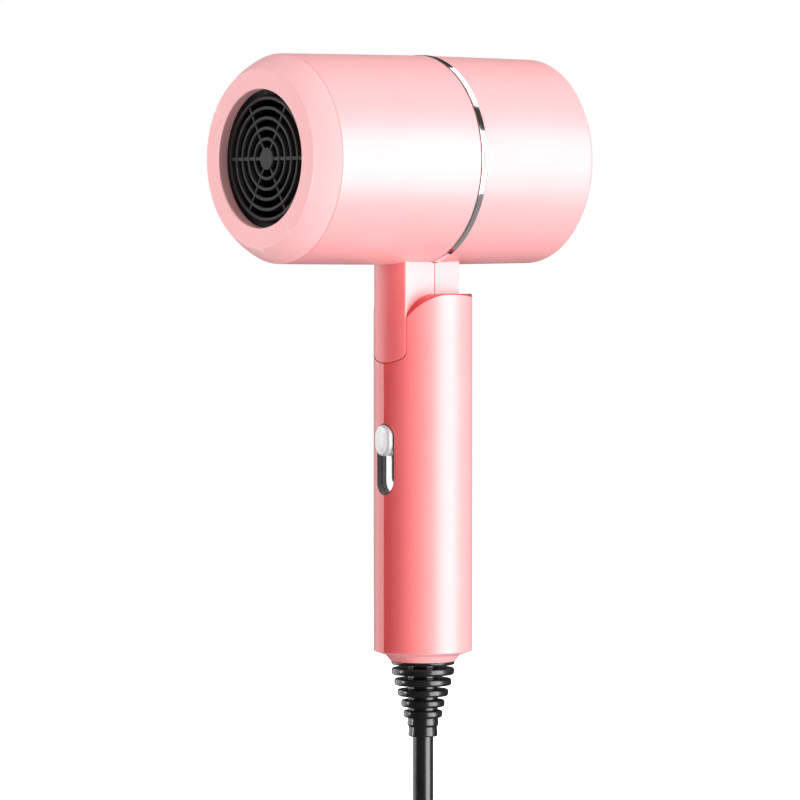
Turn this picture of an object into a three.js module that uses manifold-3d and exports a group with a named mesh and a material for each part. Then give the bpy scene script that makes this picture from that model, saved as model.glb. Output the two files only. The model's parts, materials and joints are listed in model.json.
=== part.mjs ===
// A folding travel hair dryer: a short barrel on a round handle, like a small hammer.
// Units are millimetres and +Z is up. The barrel lies along Y and blows towards -Y.
// The origin is the centre of the rear cover's flat face, on the barrel's axis.
// The handle hangs along -Z and folds back, towards +Y, about a pin that runs along X.
import * as THREE from 'three';
import { mergeVertices } from 'three/addons/utils/BufferGeometryUtils.js';
import Module from 'manifold-3d';

const wasm = await Module();
wasm.setup();

// ---------- driving dimensions ----------
const GAP = 0.3; // play between neighbouring pieces

const FRONT_Y = -120.8; // flat ring of the nose
const HANDLE_Y = -48.95; // axis of the handle
const SPLIT_Y = HANDLE_Y - 3.1; // plane where the two barrel housings meet
const NECK_SPLIT_Y = HANDLE_Y - 1.8; // and where their two half necks meet, through the pin
const REAR_RIM_Y = -0.6; // rear edge of the rear housing
const BARREL_R = 36.95; // at the split
const BARREL_END_R = 36.45; // at both ends
const BARREL_INNER_R = 34.4;

const NOSE_LENGTH = 8.5; // height of the cone behind the nose ring
const NOSE_FACE_R = 31;
const OUTLET_R = 24;
const LIP_DEPTH = 4; // length of the outlet's inner wall

const TRIM_WIDTH = 2.4;
const TRIM_R = 37.15;

const GRILLE_RECESS = 3; // from the nose ring back to the front of the bars
const GRILLE_DEPTH = 3.6;
const GRILLE_BAR = 1.15;
const GRILLE_HUB_R = 3.9;
const GRILLE_RING_RADII = [6.9, 10.6, 14.1, 17.6, 21];

const NECK_HALF_WIDTH = 9;
const NECK_REAR = 9.4; // rear face, behind the handle's axis
const TONGUE_BOTTOM_Z = -71.4; // lowest point of the neck's curved lower edge
const TONGUE_SIDE_Z = -69; // the same edge at the neck's sides
const PIVOT_Y = NECK_SPLIT_Y - HANDLE_Y; // from the handle's axis
const PIVOT_Z = -60.4;
const PIN_R = 2.5;
const WASHER_R = 6;
const WASHER_THICKNESS = 0.9;

const HANDLE_R = 17.45;
const HANDLE_INNER_R = 15.05;
const HANDLE_TOP_Z = -47.1;
const HANDLE_BOTTOM_Z = -173.9;
const COLLAR_BOTTOM_Z = -177.2;
const HOLLOW_BOTTOM_Z = -170.8;
const SLOT_FLOOR_THICKNESS = 2.2;
const CHEEK_ARC_R = 13; // rounding of the fork's front upper corner

const SLIDE_TOP_Z = -92.6; // stadium-shaped opening for the switch
const SLIDE_BOTTOM_Z = -118;
const SLIDE_HALF_WIDTH = 5.3;
const BUTTON_HALF_HEIGHT = 5.5;
const BUTTON_PROUD = 1.7;
const BEZEL_WALL = 0.3;

const CORD_R = 3.7;
const CORD_END_Z = -250;
const BOOT_CORE_R = 5.3;
const BOOT_SLEEVE_R = 7.4; // where it passes the handle's collar
const BOOT_END_Z = -204;
const BOOT_RING_RADII = [10.9, 9.9, 8.8, 7.5, 6.7];
const BOOT_FIRST_RING_Z = -180.8;
const BOOT_PITCH = 3.8;

const DUCT_R = 26.8; // tube round the fan and motor
const FAN_R = 25;
const FAN_BLADES = 7;
const STATOR_VANES = 6;
const MOTOR_R = 12.2;
const SHAFT_R = 1;
const HEATER_FRONT_Y = -106;
const HEATER_REAR_Y = -67;
const HEATER_BOARD_HALF_WIDTH = 24;
const HEATER_BOARD_THICKNESS = 0.6;
const HEATER_COIL_R = 25;

const SCREW_R = 1.25; // shank of the case screws
const SCREW_HEAD_ROOM_R = 3;
const CLAMP_SCREW_R = 1;
const LEAD_R = 0.8;
const CORE_R = 1.05; // insulated core of the cord

// Facets round each size of circle.
const BARREL_FACETS = 40;
const HANDLE_FACETS = 32;
const GRILLE_FACETS = 24;
const SMALL_FACETS = 16;

// ---------- materials ----------
const finish = (color, roughness, metalness) =>
  new THREE.MeshStandardMaterial({ color, roughness, metalness });
const pinkShell = finish(0xf0a6a8, 0.3, 0.1);
const chrome = finish(0xe6e6e8, 0.08, 1);
const blackPlastic = finish(0x1c1c1d, 0.45, 0);
const greyPlastic = finish(0x484849, 0.45, 0);
const blackRubber = finish(0x151515, 0.35, 0);
const wireMesh = finish(0x6d6f72, 0.4, 1);
const steel = finish(0xb9babd, 0.3, 1);
const bronze = finish(0xa97a45, 0.4, 1);
const ferrite = finish(0x3b3b3e, 0.7, 0);
const mica = finish(0xc9b98f, 0.6, 0);
const heaterWire = finish(0x8d8a86, 0.45, 1);
const circuitBoard = finish(0x2f6b3a, 0.5, 0);
const brownCore = finish(0x6b4226, 0.5, 0);
const blueCore = finish(0x2d5fa8, 0.5, 0);

// ---------- solids and booleans ----------
const X = new THREE.Vector3(1, 0, 0);
const Y = new THREE.Vector3(0, 1, 0);
const Z = new THREE.Vector3(0, 0, 1);

function solidOf(shape) {
  if (shape instanceof wasm.Manifold) return shape;
  const bare = shape.clone();
  bare.deleteAttribute('normal');
  bare.deleteAttribute('uv');
  const merged = mergeVertices(bare, 1e-4);
  return new wasm.Manifold(new wasm.Mesh({
    numProp: 3,
    vertProperties: new Float32Array(merged.attributes.position.array),
    triVerts: new Uint32Array(merged.index.array),
  }));
}

function geometryOf(shape) {
  const made = solidOf(shape).getMesh();
  const geometry = new THREE.BufferGeometry();
  geometry.setAttribute('position', new THREE.BufferAttribute(new Float32Array(made.vertProperties), 3));
  geometry.setIndex(new THREE.BufferAttribute(new Uint32Array(made.triVerts), 1));
  geometry.computeVertexNormals();
  return geometry;
}

const join = (first, ...others) =>
  others.reduce((whole, piece) => whole.add(solidOf(piece)), solidOf(first));
const cut = (first, ...tools) =>
  tools.reduce((whole, tool) => whole.subtract(solidOf(tool)), solidOf(first));
const common = (first, ...others) =>
  others.reduce((whole, other) => whole.intersect(solidOf(other)), solidOf(first));

function addPart(group, name, shape, material) {
  const mesh = new THREE.Mesh(geometryOf(shape), material);
  mesh.name = name;
  group.add(mesh);
}

// ---------- basic shapes ----------
// A closed [radius, height] outline, anticlockwise, turned about the Y axis.
function turnedY(outline, segments) {
  const points = [...outline, outline[0]].map(([r, y]) => new THREE.Vector2(r, y));
  return new THREE.LatheGeometry(points, segments);
}

// The same, turned about the Z axis.
const turnedZ = (outline, segments) => turnedY(outline, segments).rotateX(Math.PI / 2);

const tubeY = (inner, outer, low, high, segments) =>
  turnedY([[inner, low], [outer, low], [outer, high], [inner, high]], segments);

const rodY = (radius, low, high, segments) =>
  new THREE.CylinderGeometry(radius, radius, high - low, segments).translate(0, (low + high) / 2, 0);

const rodX = (radius, low, high, segments) =>
  rodY(radius, low, high, segments).rotateZ(-Math.PI / 2);

const rodZ = (radius, low, high, segments) =>
  rodY(radius, low, high, segments).rotateX(Math.PI / 2);

const box = (x0, x1, y0, y1, z0, z1) =>
  new THREE.BoxGeometry(x1 - x0, y1 - y0, z1 - z0)
    .translate((x0 + x1) / 2, (y0 + y1) / 2, (z0 + z1) / 2);

function prism(shape, length, basis, origin, curveSegments) {
  const geometry = new THREE.ExtrudeGeometry(shape, { depth: length, bevelEnabled: false, curveSegments });
  return geometry.applyMatrix4(new THREE.Matrix4().makeBasis(...basis).setPosition(origin));
}

// Prisms of a shape drawn in the plane across the named axis, from low to high on that axis.
const prismX = (shape, low, high, curveSegments = 12) =>
  prism(shape, high - low, [Y, Z, X], new THREE.Vector3(low, 0, 0), curveSegments);
const prismY = (shape, low, high, curveSegments = 12) =>
  prism(shape, high - low, [X, Z, Y.clone().negate()], new THREE.Vector3(0, high, 0), curveSegments);
const prismZ = (shape, low, high, curveSegments = 12) =>
  prism(shape, high - low, [X, Y, Z], new THREE.Vector3(0, 0, low), curveSegments);

// A round wire along a smooth curve through the given points.
function wire(points, radius, steps) {
  const path = new THREE.CatmullRomCurve3(points.map(([x, y, z]) => new THREE.Vector3(x, y, z)));
  const section = new THREE.Shape().absarc(0, 0, radius, 0, 2 * Math.PI);
  return new THREE.ExtrudeGeometry(section, { steps, curveSegments: 3, extrudePath: path });
}

// An upright slot with round ends, drawn in (x, z).
function stadium(halfWidth, bottom, top) {
  const shape = new THREE.Shape();
  shape.absarc(0, top - halfWidth, halfWidth, 0, Math.PI);
  shape.absarc(0, bottom + halfWidth, halfWidth, Math.PI, 2 * Math.PI);
  return shape;
}

// A screw along X: a flat head with a cross recess at headFace and a shank that runs to tip.
function screwX(headR, shankR, headFace, headDepth, tip, y, z) {
  const way = Math.sign(tip - headFace);
  const neck = headFace + way * headDepth;
  const head = rodX(headR, Math.min(headFace, neck), Math.max(headFace, neck), 12);
  const shank = rodX(shankR, Math.min(neck - way, tip), Math.max(neck - way, tip), 8);
  const drive = box(headFace - 0.6, headFace + 0.6, -0.4, 0.4, -headR * 0.7, headR * 0.7);
  return cut(join(head, shank), drive, drive.clone().rotateX(Math.PI / 2)).translate([0, y, z]);
}

// ---------- barrel ----------
function noseCap() {
  const y = FRONT_Y;
  return turnedY([
    [OUTLET_R, y],
    [NOSE_FACE_R - 0.5, y],
    [NOSE_FACE_R, y + 0.4],
    [(NOSE_FACE_R + BARREL_END_R) / 2 + 0.25, y + NOSE_LENGTH / 2],
    [BARREL_END_R, y + NOSE_LENGTH],
    [34, y + NOSE_LENGTH],
    [34, y + NOSE_LENGTH + 4.5],
    [32, y + NOSE_LENGTH + 4.5],
    [NOSE_FACE_R - 1.6, y + LIP_DEPTH],
    [OUTLET_R, y + LIP_DEPTH],
  ], BARREL_FACETS);
}

function trimRing() {
  const y = SPLIT_Y + GAP / 2;
  return turnedY([
    [BARREL_INNER_R + 0.2, y],
    [TRIM_R - 0.2, y],
    [TRIM_R, y + 0.3],
    [TRIM_R, y + TRIM_WIDTH - 0.3],
    [TRIM_R - 0.2, y + TRIM_WIDTH],
    [BARREL_INNER_R + 0.2, y + TRIM_WIDTH],
  ], BARREL_FACETS);
}

// The neck in side view, drawn in (y, z) from the barrel down to the hinge.
// Its round knuckle turns about the pin; the strip in front of it closes the handle's slot.
function neckSide() {
  const knuckleR = NECK_REAR - PIVOT_Y;
  const front = -HANDLE_R - 1;
  const stripBack = -13.2;
  const step = -68;
  const stepAngle = Math.asin((PIVOT_Z - step) / knuckleR);
  const shape = new THREE.Shape();
  shape.moveTo(front, -30);
  shape.lineTo(front, TONGUE_BOTTOM_Z - 1);
  shape.lineTo(stripBack, TONGUE_BOTTOM_Z - 1);
  shape.lineTo(stripBack, step);
  shape.absarc(PIVOT_Y, PIVOT_Z, knuckleR, Math.PI + stepAngle, 2 * Math.PI);
  shape.lineTo(NECK_REAR, -30);
  return shape;
}

// Front view of the neck or of its slot, in (x, z): straight sides and a curved lower edge.
function tongueFront(halfWidth, sideZ, middleZ) {
  const shape = new THREE.Shape();
  shape.moveTo(-halfWidth, -20);
  shape.lineTo(-halfWidth, sideZ);
  shape.quadraticCurveTo(0, 2 * middleZ - sideZ, halfWidth, sideZ);
  shape.lineTo(halfWidth, -20);
  return shape;
}

// The whole neck, before it is shared between the two housings.
function neck() {
  const block = common(
    prismX(neckSide(), -NECK_HALF_WIDTH, NECK_HALF_WIDTH, 16),
    prismY(tongueFront(NECK_HALF_WIDTH, TONGUE_SIDE_Z, TONGUE_BOTTOM_Z), -30, 30, 8),
    rodZ(HANDLE_R, -90, -10, HANDLE_FACETS),
  );
  const wireRoom = box(-6.5, 6.5, -15, -4, -50, -20);
  const wireChannel = box(-3.6, 3.6, -12.6, -9.6, -90, -40);
  const pinBore = rodX(PIN_R + GAP, -20, 20, SMALL_FACETS).translate(0, PIVOT_Y, PIVOT_Z);
  return cut(block, wireRoom, wireChannel, pinBore).translate([0, HANDLE_Y, 0]);
}

const NECK_SCREW_Z = -54;
const HOUSING_SCREW_ANGLE = THREE.MathUtils.degToRad(52);
const HOUSING_SCREW_R = 29.6; // distance from the barrel's axis
const BOSS_R = 2.5;
const SPIGOT_Y = SPLIT_Y - 7.5;

// Something drawn above the barrel's axis, copied to both housing screws.
const atHousingScrews = (make) =>
  [-1, 1].map((side) => make().translate(0, 0, HOUSING_SCREW_R).rotateY(side * HOUSING_SCREW_ANGLE));

// A boss and the web that joins it to the wall at radius reach.
const bosses = (low, high, reach) => atHousingScrews(() => geometryOf(join(
  rodY(BOSS_R, low, high, 16),
  box(-BOSS_R, BOSS_R, low, high, 0, reach - HOUSING_SCREW_R),
)));

const screwBores = (low, high) =>
  atHousingScrews(() => rodY(SCREW_R + GAP, low, high, 12));

function frontHousing() {
  const front = FRONT_Y + NOSE_LENGTH + GAP;
  const back = SPLIT_Y - GAP / 2;
  const tube = turnedY([
    [BARREL_INNER_R, front],
    [BARREL_END_R, front],
    [BARREL_R, back],
    [BARREL_INNER_R, back],
  ], BARREL_FACETS);
  const frontHalf = box(-50, 50, FRONT_Y, NECK_SPLIT_Y - GAP / 2, -100, 50);
  const ringRoom = rodY(TRIM_R + GAP, back, 0, BARREL_FACETS);
  const interior = rodY(BARREL_INNER_R, FRONT_Y, 0, BARREL_FACETS);
  const halfNeck = cut(common(neck(), frontHalf), interior, ringRoom);
  const wirePassage = box(-6.5, 6.5, HANDLE_Y - 15, HANDLE_Y - 4, -50, -20);
  const neckScrewBore = rodY(SCREW_R + GAP, HANDLE_Y - 9, 0, 12).translate(0, 0, NECK_SCREW_Z);
  const whole = join(tube, halfNeck, ...bosses(SPIGOT_Y - 15, SPIGOT_Y - GAP, BARREL_INNER_R + 0.6));
  return cut(whole, wirePassage, neckScrewBore, ...screwBores(SPIGOT_Y - 11, 0));
}

function rearHousing() {
  const front = SPLIT_Y + TRIM_WIDTH + 1.5 * GAP;
  const edge = 1.8;
  const tube = turnedY([
    [BARREL_R, front],
    [BARREL_END_R, REAR_RIM_Y - edge],
    [BARREL_END_R - 0.5, REAR_RIM_Y - 0.5],
    [BARREL_END_R - edge, REAR_RIM_Y],
    [33.9, REAR_RIM_Y],
    [33.9, -5.4],
    [32.2, -5.4],
    [BARREL_INNER_R, -8.6],
    [BARREL_INNER_R, front + 1],
    [32, front + 3.4],
    [32, SPIGOT_Y],
    [BARREL_INNER_R - GAP, SPIGOT_Y],
    [BARREL_INNER_R - GAP, front],
  ], BARREL_FACETS);
  const rearHalf = box(-50, 50, NECK_SPLIT_Y + GAP / 2, 20, -100, 50);
  const ringRoom = rodY(TRIM_R + GAP, SPLIT_Y - 5, front, BARREL_FACETS);
  const interior = rodY(BARREL_INNER_R, FRONT_Y, 0, BARREL_FACETS);
  const halfNeck = cut(common(neck(), rearHalf), interior, ringRoom);
  const screwHead = rodY(SCREW_HEAD_ROOM_R, HANDLE_Y + NECK_REAR - 2, 0, 16).translate(0, 0, NECK_SCREW_Z);
  const screwBore = rodY(SCREW_R + GAP, SPLIT_Y - 2, 0, 12).translate(0, 0, NECK_SCREW_Z);
  const whole = join(tube, halfNeck, ...bosses(SPIGOT_Y, SPLIT_Y + 4, BARREL_INNER_R - 1.2));
  return cut(whole, screwHead, screwBore, ...screwBores(SPIGOT_Y - 11, 0));
}

function housingScrew(side) {
  const seat = SPLIT_Y + 4 + GAP / 2;
  const screw = join(rodY(2, seat, seat + 1.6, 16), rodY(SCREW_R, seat - 20, seat + 0.5, 12));
  return geometryOf(screw).translate(0, 0, HOUSING_SCREW_R).rotateY(side * HOUSING_SCREW_ANGLE);
}

function neckScrew() {
  const seat = HANDLE_Y + NECK_REAR - 2 + GAP / 2;
  const head = rodY(2.5, seat, seat + 1.6, 16);
  const shank = rodY(SCREW_R, HANDLE_Y - 8, seat + 0.5, 12);
  const drive = box(-1.7, 1.7, seat + 1, seat + 3, -0.35, 0.35);
  const screw = cut(join(head, shank), drive, drive.clone().rotateY(Math.PI / 2));
  return geometryOf(screw).translate(0, 0, NECK_SCREW_Z);
}

// Round bars tied together by spokes and a hub, with a dished rim behind the nose's lip.
function outletGrille() {
  const front = FRONT_Y + GRILLE_RECESS;
  const back = front + GRILLE_DEPTH;
  const rimY = FRONT_Y + LIP_DEPTH + GAP;
  const outerBar = GRILLE_RING_RADII.at(-1);
  const bars = GRILLE_RING_RADII.map((r, i) =>
    tubeY(r - GRILLE_BAR / 2, r + GRILLE_BAR / 2, front, back, GRILLE_FACETS - 4 + 2 * i));
  const hub = rodY(GRILLE_HUB_R, front, back, SMALL_FACETS);
  const spokes = [0, 1, 2].map((i) =>
    box(-outerBar, outerBar, front + 0.4, back, -0.45, 0.45).rotateY(i * Math.PI / 3));
  const rim = turnedY([
    [outerBar + 0.3, back - 1.6],
    [OUTLET_R, rimY],
    [28.6, rimY],
    [28.6, rimY + 1.6],
    [OUTLET_R, rimY + 1.6],
    [outerBar + 0.3, back],
  ], BARREL_FACETS);
  return join(hub, ...bars, ...spokes, rim);
}

// Intake cover: a flat hub, round bars and spokes inside a flat rim.
function rearCover() {
  const rim = turnedY([
    [29.6, -3.4],
    [33.3, -4.4],
    [33.3, -0.5],
    [32.8, 0],
    [29.6, 0],
  ], BARREL_FACETS);
  const hub = turnedY([[0, -3], [9.6, -3], [9.6, -0.3], [9.3, 0], [0, 0]], GRILLE_FACETS);
  const bars = [13.6, 17.7, 21.8, 25.9].map((r) => tubeY(r - 0.7, r + 0.7, -2.8, -0.6, GRILLE_FACETS));
  const spokes = [0, 1, 2].map((i) =>
    box(-31, 31, -3, -1, -0.8, 0.8).rotateY((i * Math.PI) / 3));
  return join(rim, hub, ...bars, ...spokes);
}

const dustFilter = () => rodY(33, -5.2, -4.7, BARREL_FACETS);

// ---------- air path ----------
function bladeOutline(chord, rise, thickness) {
  const shape = new THREE.Shape();
  shape.moveTo(-chord / 2, -rise / 2);
  shape.quadraticCurveTo(-chord * 0.12, rise * 0.3, chord / 2, rise / 2);
  shape.lineTo(chord / 2, rise / 2 - thickness);
  shape.quadraticCurveTo(0, rise * 0.3 - 2 * thickness, -chord / 2 + thickness, -rise / 2);
  return shape;
}

function fanImpeller() {
  const middle = -18;
  const blades = Array.from({ length: FAN_BLADES }, (_, i) =>
    prismZ(bladeOutline(12, 10, 1.2), 8, FAN_R - 0.9, 5)
      .translate(0, middle, 0)
      .rotateY((i * 2 * Math.PI) / FAN_BLADES));
  const bore = SHAFT_R + GAP;
  const hub = turnedY([[bore, -24], [8.8, -24], [8.8, -13.5], [6.8, -11.6], [bore, -11.6]], GRILLE_FACETS);
  return join(hub, ...blades);
}

function motorDuct() {
  const inner = DUCT_R - 1.2;
  const tube = turnedY([
    [inner, -61.5],
    [DUCT_R, -61.5],
    [DUCT_R, -10.4],
    [33.8, -10.4],
    [33.8, -9.2],
    [inner + 0.8, -9.2],
    [inner, -10.4],
  ], BARREL_FACETS);
  const cup = turnedY([
    [MOTOR_R + 0.4, -54],
    [MOTOR_R + 1.6, -54],
    [MOTOR_R + 1.6, -28.4],
    [3.6, -28.4],
    [3.6, -29.6],
    [MOTOR_R + 0.4, -29.6],
  ], GRILLE_FACETS);
  const vanes = Array.from({ length: STATOR_VANES }, (_, i) =>
    prismZ(bladeOutline(6, 14, 1.2), MOTOR_R + 1, inner + 0.6, 4)
      .translate(0, -39, 0)
      .rotateY((i * 2 * Math.PI) / STATOR_VANES));
  return join(tube, cup, ...vanes);
}

const motorCan = () => turnedY([
  [MOTOR_R - 0.9, -53.6],
  [MOTOR_R, -53.6],
  [MOTOR_R, -29.9],
  [3.1, -29.9],
  [3.1, -30.9],
  [MOTOR_R - 0.9, -30.9],
], GRILLE_FACETS);

const motorEndCap = () => turnedY([
  [3.1, -56],
  [MOTOR_R - 0.4, -56],
  [MOTOR_R - 0.4, -53.9],
  [3.1, -53.9],
], GRILLE_FACETS);

function motorMagnet(turn) {
  const shape = new THREE.Shape();
  shape.absarc(0, 0, 10.8, -1.1, 1.1);
  shape.absarc(0, 0, 9.2, 1.1, -1.1, true);
  return prismZ(shape, 34, 50, 5).rotateX(Math.PI / 2).rotateY(turn);
}

// Laminated core with three winding slots, on the shaft.
function motorArmature() {
  const core = tubeY(SHAFT_R + GAP, 8.6, -49, -35, GRILLE_FACETS);
  const slots = [0, 1, 2].map((i) =>
    box(-0.8, 0.8, -60, -20, 4, 12).rotateY((i * 2 * Math.PI) / 3));
  return cut(core, ...slots);
}

const commutator = () => tubeY(SHAFT_R + GAP, 3, -53, -49.6, 12);
const motorBrush = (side) =>
  box(Math.min(3.4 * side, 6.6 * side), Math.max(3.4 * side, 6.6 * side), -52.6, -50.6, -1, 1);
const motorBush = (low, high) => tubeY(SHAFT_R + GAP, 2.8, low, high, 12);
const motorShaft = () => rodY(SHAFT_R, -57.5, -12.6, 12);

// Small round board with four diodes that feeds the motor direct current.
function rectifierBoard() {
  const board = rodY(11.4, -58.9, -57.9, GRILLE_FACETS);
  const diodes = [-4.5, -1.5, 1.5, 4.5].map((z) => rodX(1, -2.5, 2.5, 8).translate(0, -59.6, z));
  return join(board, ...diodes);
}

const heatShield = () => tubeY(26, 26.6, -109, -66, BARREL_FACETS);

// Two crossed heater boards, each with a slot half its length for the other.
function heaterBoard(slotLow, slotHigh) {
  const half = HEATER_BOARD_THICKNESS / 2;
  const slotHalf = half + GAP;
  const reach = HEATER_BOARD_HALF_WIDTH;
  return cut(
    box(-half, half, HEATER_FRONT_Y, HEATER_REAR_Y, -reach, reach),
    box(-1, 1, slotLow, slotHigh, -slotHalf, slotHalf),
  );
}

const HEATER_MIDDLE_Y = (HEATER_FRONT_Y + HEATER_REAR_Y) / 2;
const heaterBoardUpright = () => heaterBoard(HEATER_MIDDLE_Y - GAP / 2, HEATER_REAR_Y + 1);
const heaterBoardLevel = () =>
  geometryOf(heaterBoard(HEATER_FRONT_Y - 1, HEATER_MIDDLE_Y + GAP / 2)).rotateY(Math.PI / 2);

// Resistance wire wound round the edges of the crossed boards.
class Winding extends THREE.Curve {
  constructor(radius, low, high, turns) {
    super();
    Object.assign(this, { radius, low, high, turns });
  }

  getPoint(t, target = new THREE.Vector3()) {
    const angle = 2 * Math.PI * this.turns * t;
    return target.set(
      this.radius * Math.cos(angle),
      this.low + (this.high - this.low) * t,
      this.radius * Math.sin(angle),
    );
  }
}

function heaterCoil(low, high, turns) {
  const section = new THREE.Shape().absarc(0, 0, 0.4, 0, 2 * Math.PI);
  return new THREE.ExtrudeGeometry(section, {
    steps: turns * 8,
    curveSegments: 2,
    extrudePath: new Winding(HEATER_COIL_R, low, high, turns),
  });
}

const thermostat = () => join(rodZ(4, 0.6, 3.4, 20), box(-1.5, 1.5, -7, 7, 0.6, 1.4)).translate([12, -76, 0]);
const thermalFuse = () => rodY(1.6, -82, -71, 14).translate(-12, 0, 2.2);

const headLead = (side) => wire([
  [2.2 * side, HANDLE_Y - 11, -67],
  [2.2 * side, HANDLE_Y - 11, -48],
  [2.4 * side, HANDLE_Y - 11.6, -36],
  [3 * side, -62.6, -30],
  [4 * side, -63.8, -22],
  [5 * side, -63.8, -10],
], LEAD_R, 12);

// ---------- hinge ----------
const hingePin = () => rodX(PIN_R, -11.4, 11.4, SMALL_FACETS).translate(0, PIVOT_Y, PIVOT_Z);

const frictionWasher = (side) => {
  const near = (NECK_HALF_WIDTH + GAP) * side;
  const far = near + WASHER_THICKNESS * side;
  return cut(
    rodX(WASHER_R, Math.min(near, far), Math.max(near, far), SMALL_FACETS),
    rodX(PIN_R + GAP, -20, 20, SMALL_FACETS),
  ).translate([0, PIVOT_Y, PIVOT_Z]);
};

// ---------- handle, in the frame of its own axis ----------
// Side view in (y, z): a level top, rounded over at the front and just broken at the back.
function handleSide() {
  const back = HANDLE_R + 0.15;
  const corner = 1.6;
  const arcY = PIVOT_Y - 0.8;
  const shape = new THREE.Shape();
  shape.moveTo(-back - 1, -200);
  shape.lineTo(back, -200);
  shape.absarc(back - corner, HANDLE_TOP_Z - corner, corner, 0, Math.PI / 2);
  shape.absarc(arcY, HANDLE_TOP_Z - CHEEK_ARC_R, CHEEK_ARC_R, Math.PI / 2, Math.PI);
  shape.lineTo(-back - 1, HANDLE_TOP_Z - CHEEK_ARC_R - 3);
  return shape;
}

// The hollow in the upper part of each fork cheek, as seen from the side.
function cheekHollow() {
  const shape = new THREE.Shape();
  const arcR = CHEEK_ARC_R - 2.4;
  shape.moveTo(PIVOT_Y - 0.8 - arcR, -75);
  shape.absarc(PIVOT_Y - 0.8, HANDLE_TOP_Z - CHEEK_ARC_R, arcR, Math.PI, Math.PI / 2, true);
  shape.lineTo(13, HANDLE_TOP_Z - 2.4);
  shape.lineTo(13, -75);
  return shape;
}

const SHELL_SCREWS = [[8, -84], [9.5, -163]]; // (y, z) of the two handle screws
const CLAMP_POSTS = [-6.8, 6.8]; // y of the two posts that hold the cord clamp
const CLAMP_Z = -151;

function handleBody() {
  const outside = turnedZ([
    [0, COLLAR_BOTTOM_Z],
    [11.4, COLLAR_BOTTOM_Z],
    [13.3, HANDLE_BOTTOM_Z - 1.4],
    [HANDLE_R - 0.5, HANDLE_BOTTOM_Z],
    [HANDLE_R, HANDLE_BOTTOM_Z + 0.6],
    [HANDLE_R, HANDLE_TOP_Z + 4],
    [0, HANDLE_TOP_Z + 4],
  ], HANDLE_FACETS);
  const slotHalf = NECK_HALF_WIDTH + GAP;
  const slotFloor = TONGUE_BOTTOM_Z - GAP;
  const frontSlot = prismY(tongueFront(slotHalf, TONGUE_SIDE_Z - GAP, slotFloor), -30, -12.8, 8);
  const rearSlot = box(-slotHalf, slotHalf, -13, 30, slotFloor, -20);
  const hollow = rodZ(HANDLE_INNER_R, HOLLOW_BOTTOM_Z, slotFloor - SLOT_FLOOR_THICKNESS, HANDLE_FACETS);
  const cheeks = common(
    prismX(cheekHollow(), -30, 30, 8),
    rodZ(HANDLE_INNER_R, -90, -40, HANDLE_FACETS),
  );
  const keepMiddle = box(-12, 12, -30, 30, -76, -40);
  const bootHole = rodZ(BOOT_SLEEVE_R + 0.5, -190, -160, SMALL_FACETS);
  const leadHole = box(-3.6, 3.6, -12.6, -9.4, -80, -60);
  const pinBore = rodX(PIN_R + GAP, -12.5, 12.5, SMALL_FACETS).translate(0, PIVOT_Y, PIVOT_Z);
  const roomHalf = slotHalf + WASHER_THICKNESS + GAP;
  const washerRoom = rodX(WASHER_R + GAP, -roomHalf, roomHalf, SMALL_FACETS)
    .translate(0, PIVOT_Y, PIVOT_Z);
  const slideHole = prismY(stadium(SLIDE_HALF_WIDTH, SLIDE_BOTTOM_Z, SLIDE_TOP_Z), -30, -10, 8);
  return cut(
    common(outside, prismX(handleSide(), -30, 30, 16)),
    frontSlot, rearSlot, hollow, cut(cheeks, keepMiddle),
    bootHole, leadHole, pinBore, washerRoom, slideHole,
  );
}

function handleShellRight() {
  const half = box(GAP / 2, 30, -30, 30, -200, 0);
  const inside = rodZ(HANDLE_R - 1, -200, 0, HANDLE_FACETS);
  const posts = SHELL_SCREWS.map(([y, z]) => rodX(3, GAP / 2, 20, 16).translate(0, y, z));
  const pilots = SHELL_SCREWS.map(([y, z]) => rodX(SCREW_R + GAP, -1, 10.8, 12).translate(0, y, z));
  return cut(
    join(common(handleBody(), half), ...posts.map((post) => common(post, inside))),
    ...pilots,
  );
}

function handleShellLeft() {
  const half = box(-30, -GAP / 2, -30, 30, -200, 0);
  const inside = rodZ(HANDLE_R - 1, -200, 0, HANDLE_FACETS);
  const posts = SHELL_SCREWS.map(([y, z]) => rodX(3.8, -20, -GAP / 2, 16).translate(0, y, z));
  const clampPosts = CLAMP_POSTS.map((y) => rodX(2.4, -20, 3.6, 14).translate(0, y, CLAMP_Z));
  const headRoom = SHELL_SCREWS.map(([y, z]) => rodX(SCREW_HEAD_ROOM_R, -30, -11.6, 16).translate(0, y, z));
  const bores = SHELL_SCREWS.map(([y, z]) => rodX(SCREW_R + GAP, -30, 0, 12).translate(0, y, z));
  const pilots = CLAMP_POSTS.map((y) => rodX(CLAMP_SCREW_R + GAP, -6, 5, 10).translate(0, y, CLAMP_Z));
  return cut(
    join(common(handleBody(), half), ...[...posts, ...clampPosts].map((post) => common(post, inside))),
    ...headRoom, ...bores, ...pilots,
  );
}

const shellScrew = ([y, z]) => screwX(2.6, SCREW_R, -13.4, 1.6, 10.2, y, z);

// ---------- switch ----------
const SLIDE_FLOOR_Y = -12.9; // front of the bezel's floor
const BUTTON_Z = SLIDE_TOP_Z - BEZEL_WALL - 2 * GAP - BUTTON_HALF_HEIGHT;

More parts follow.
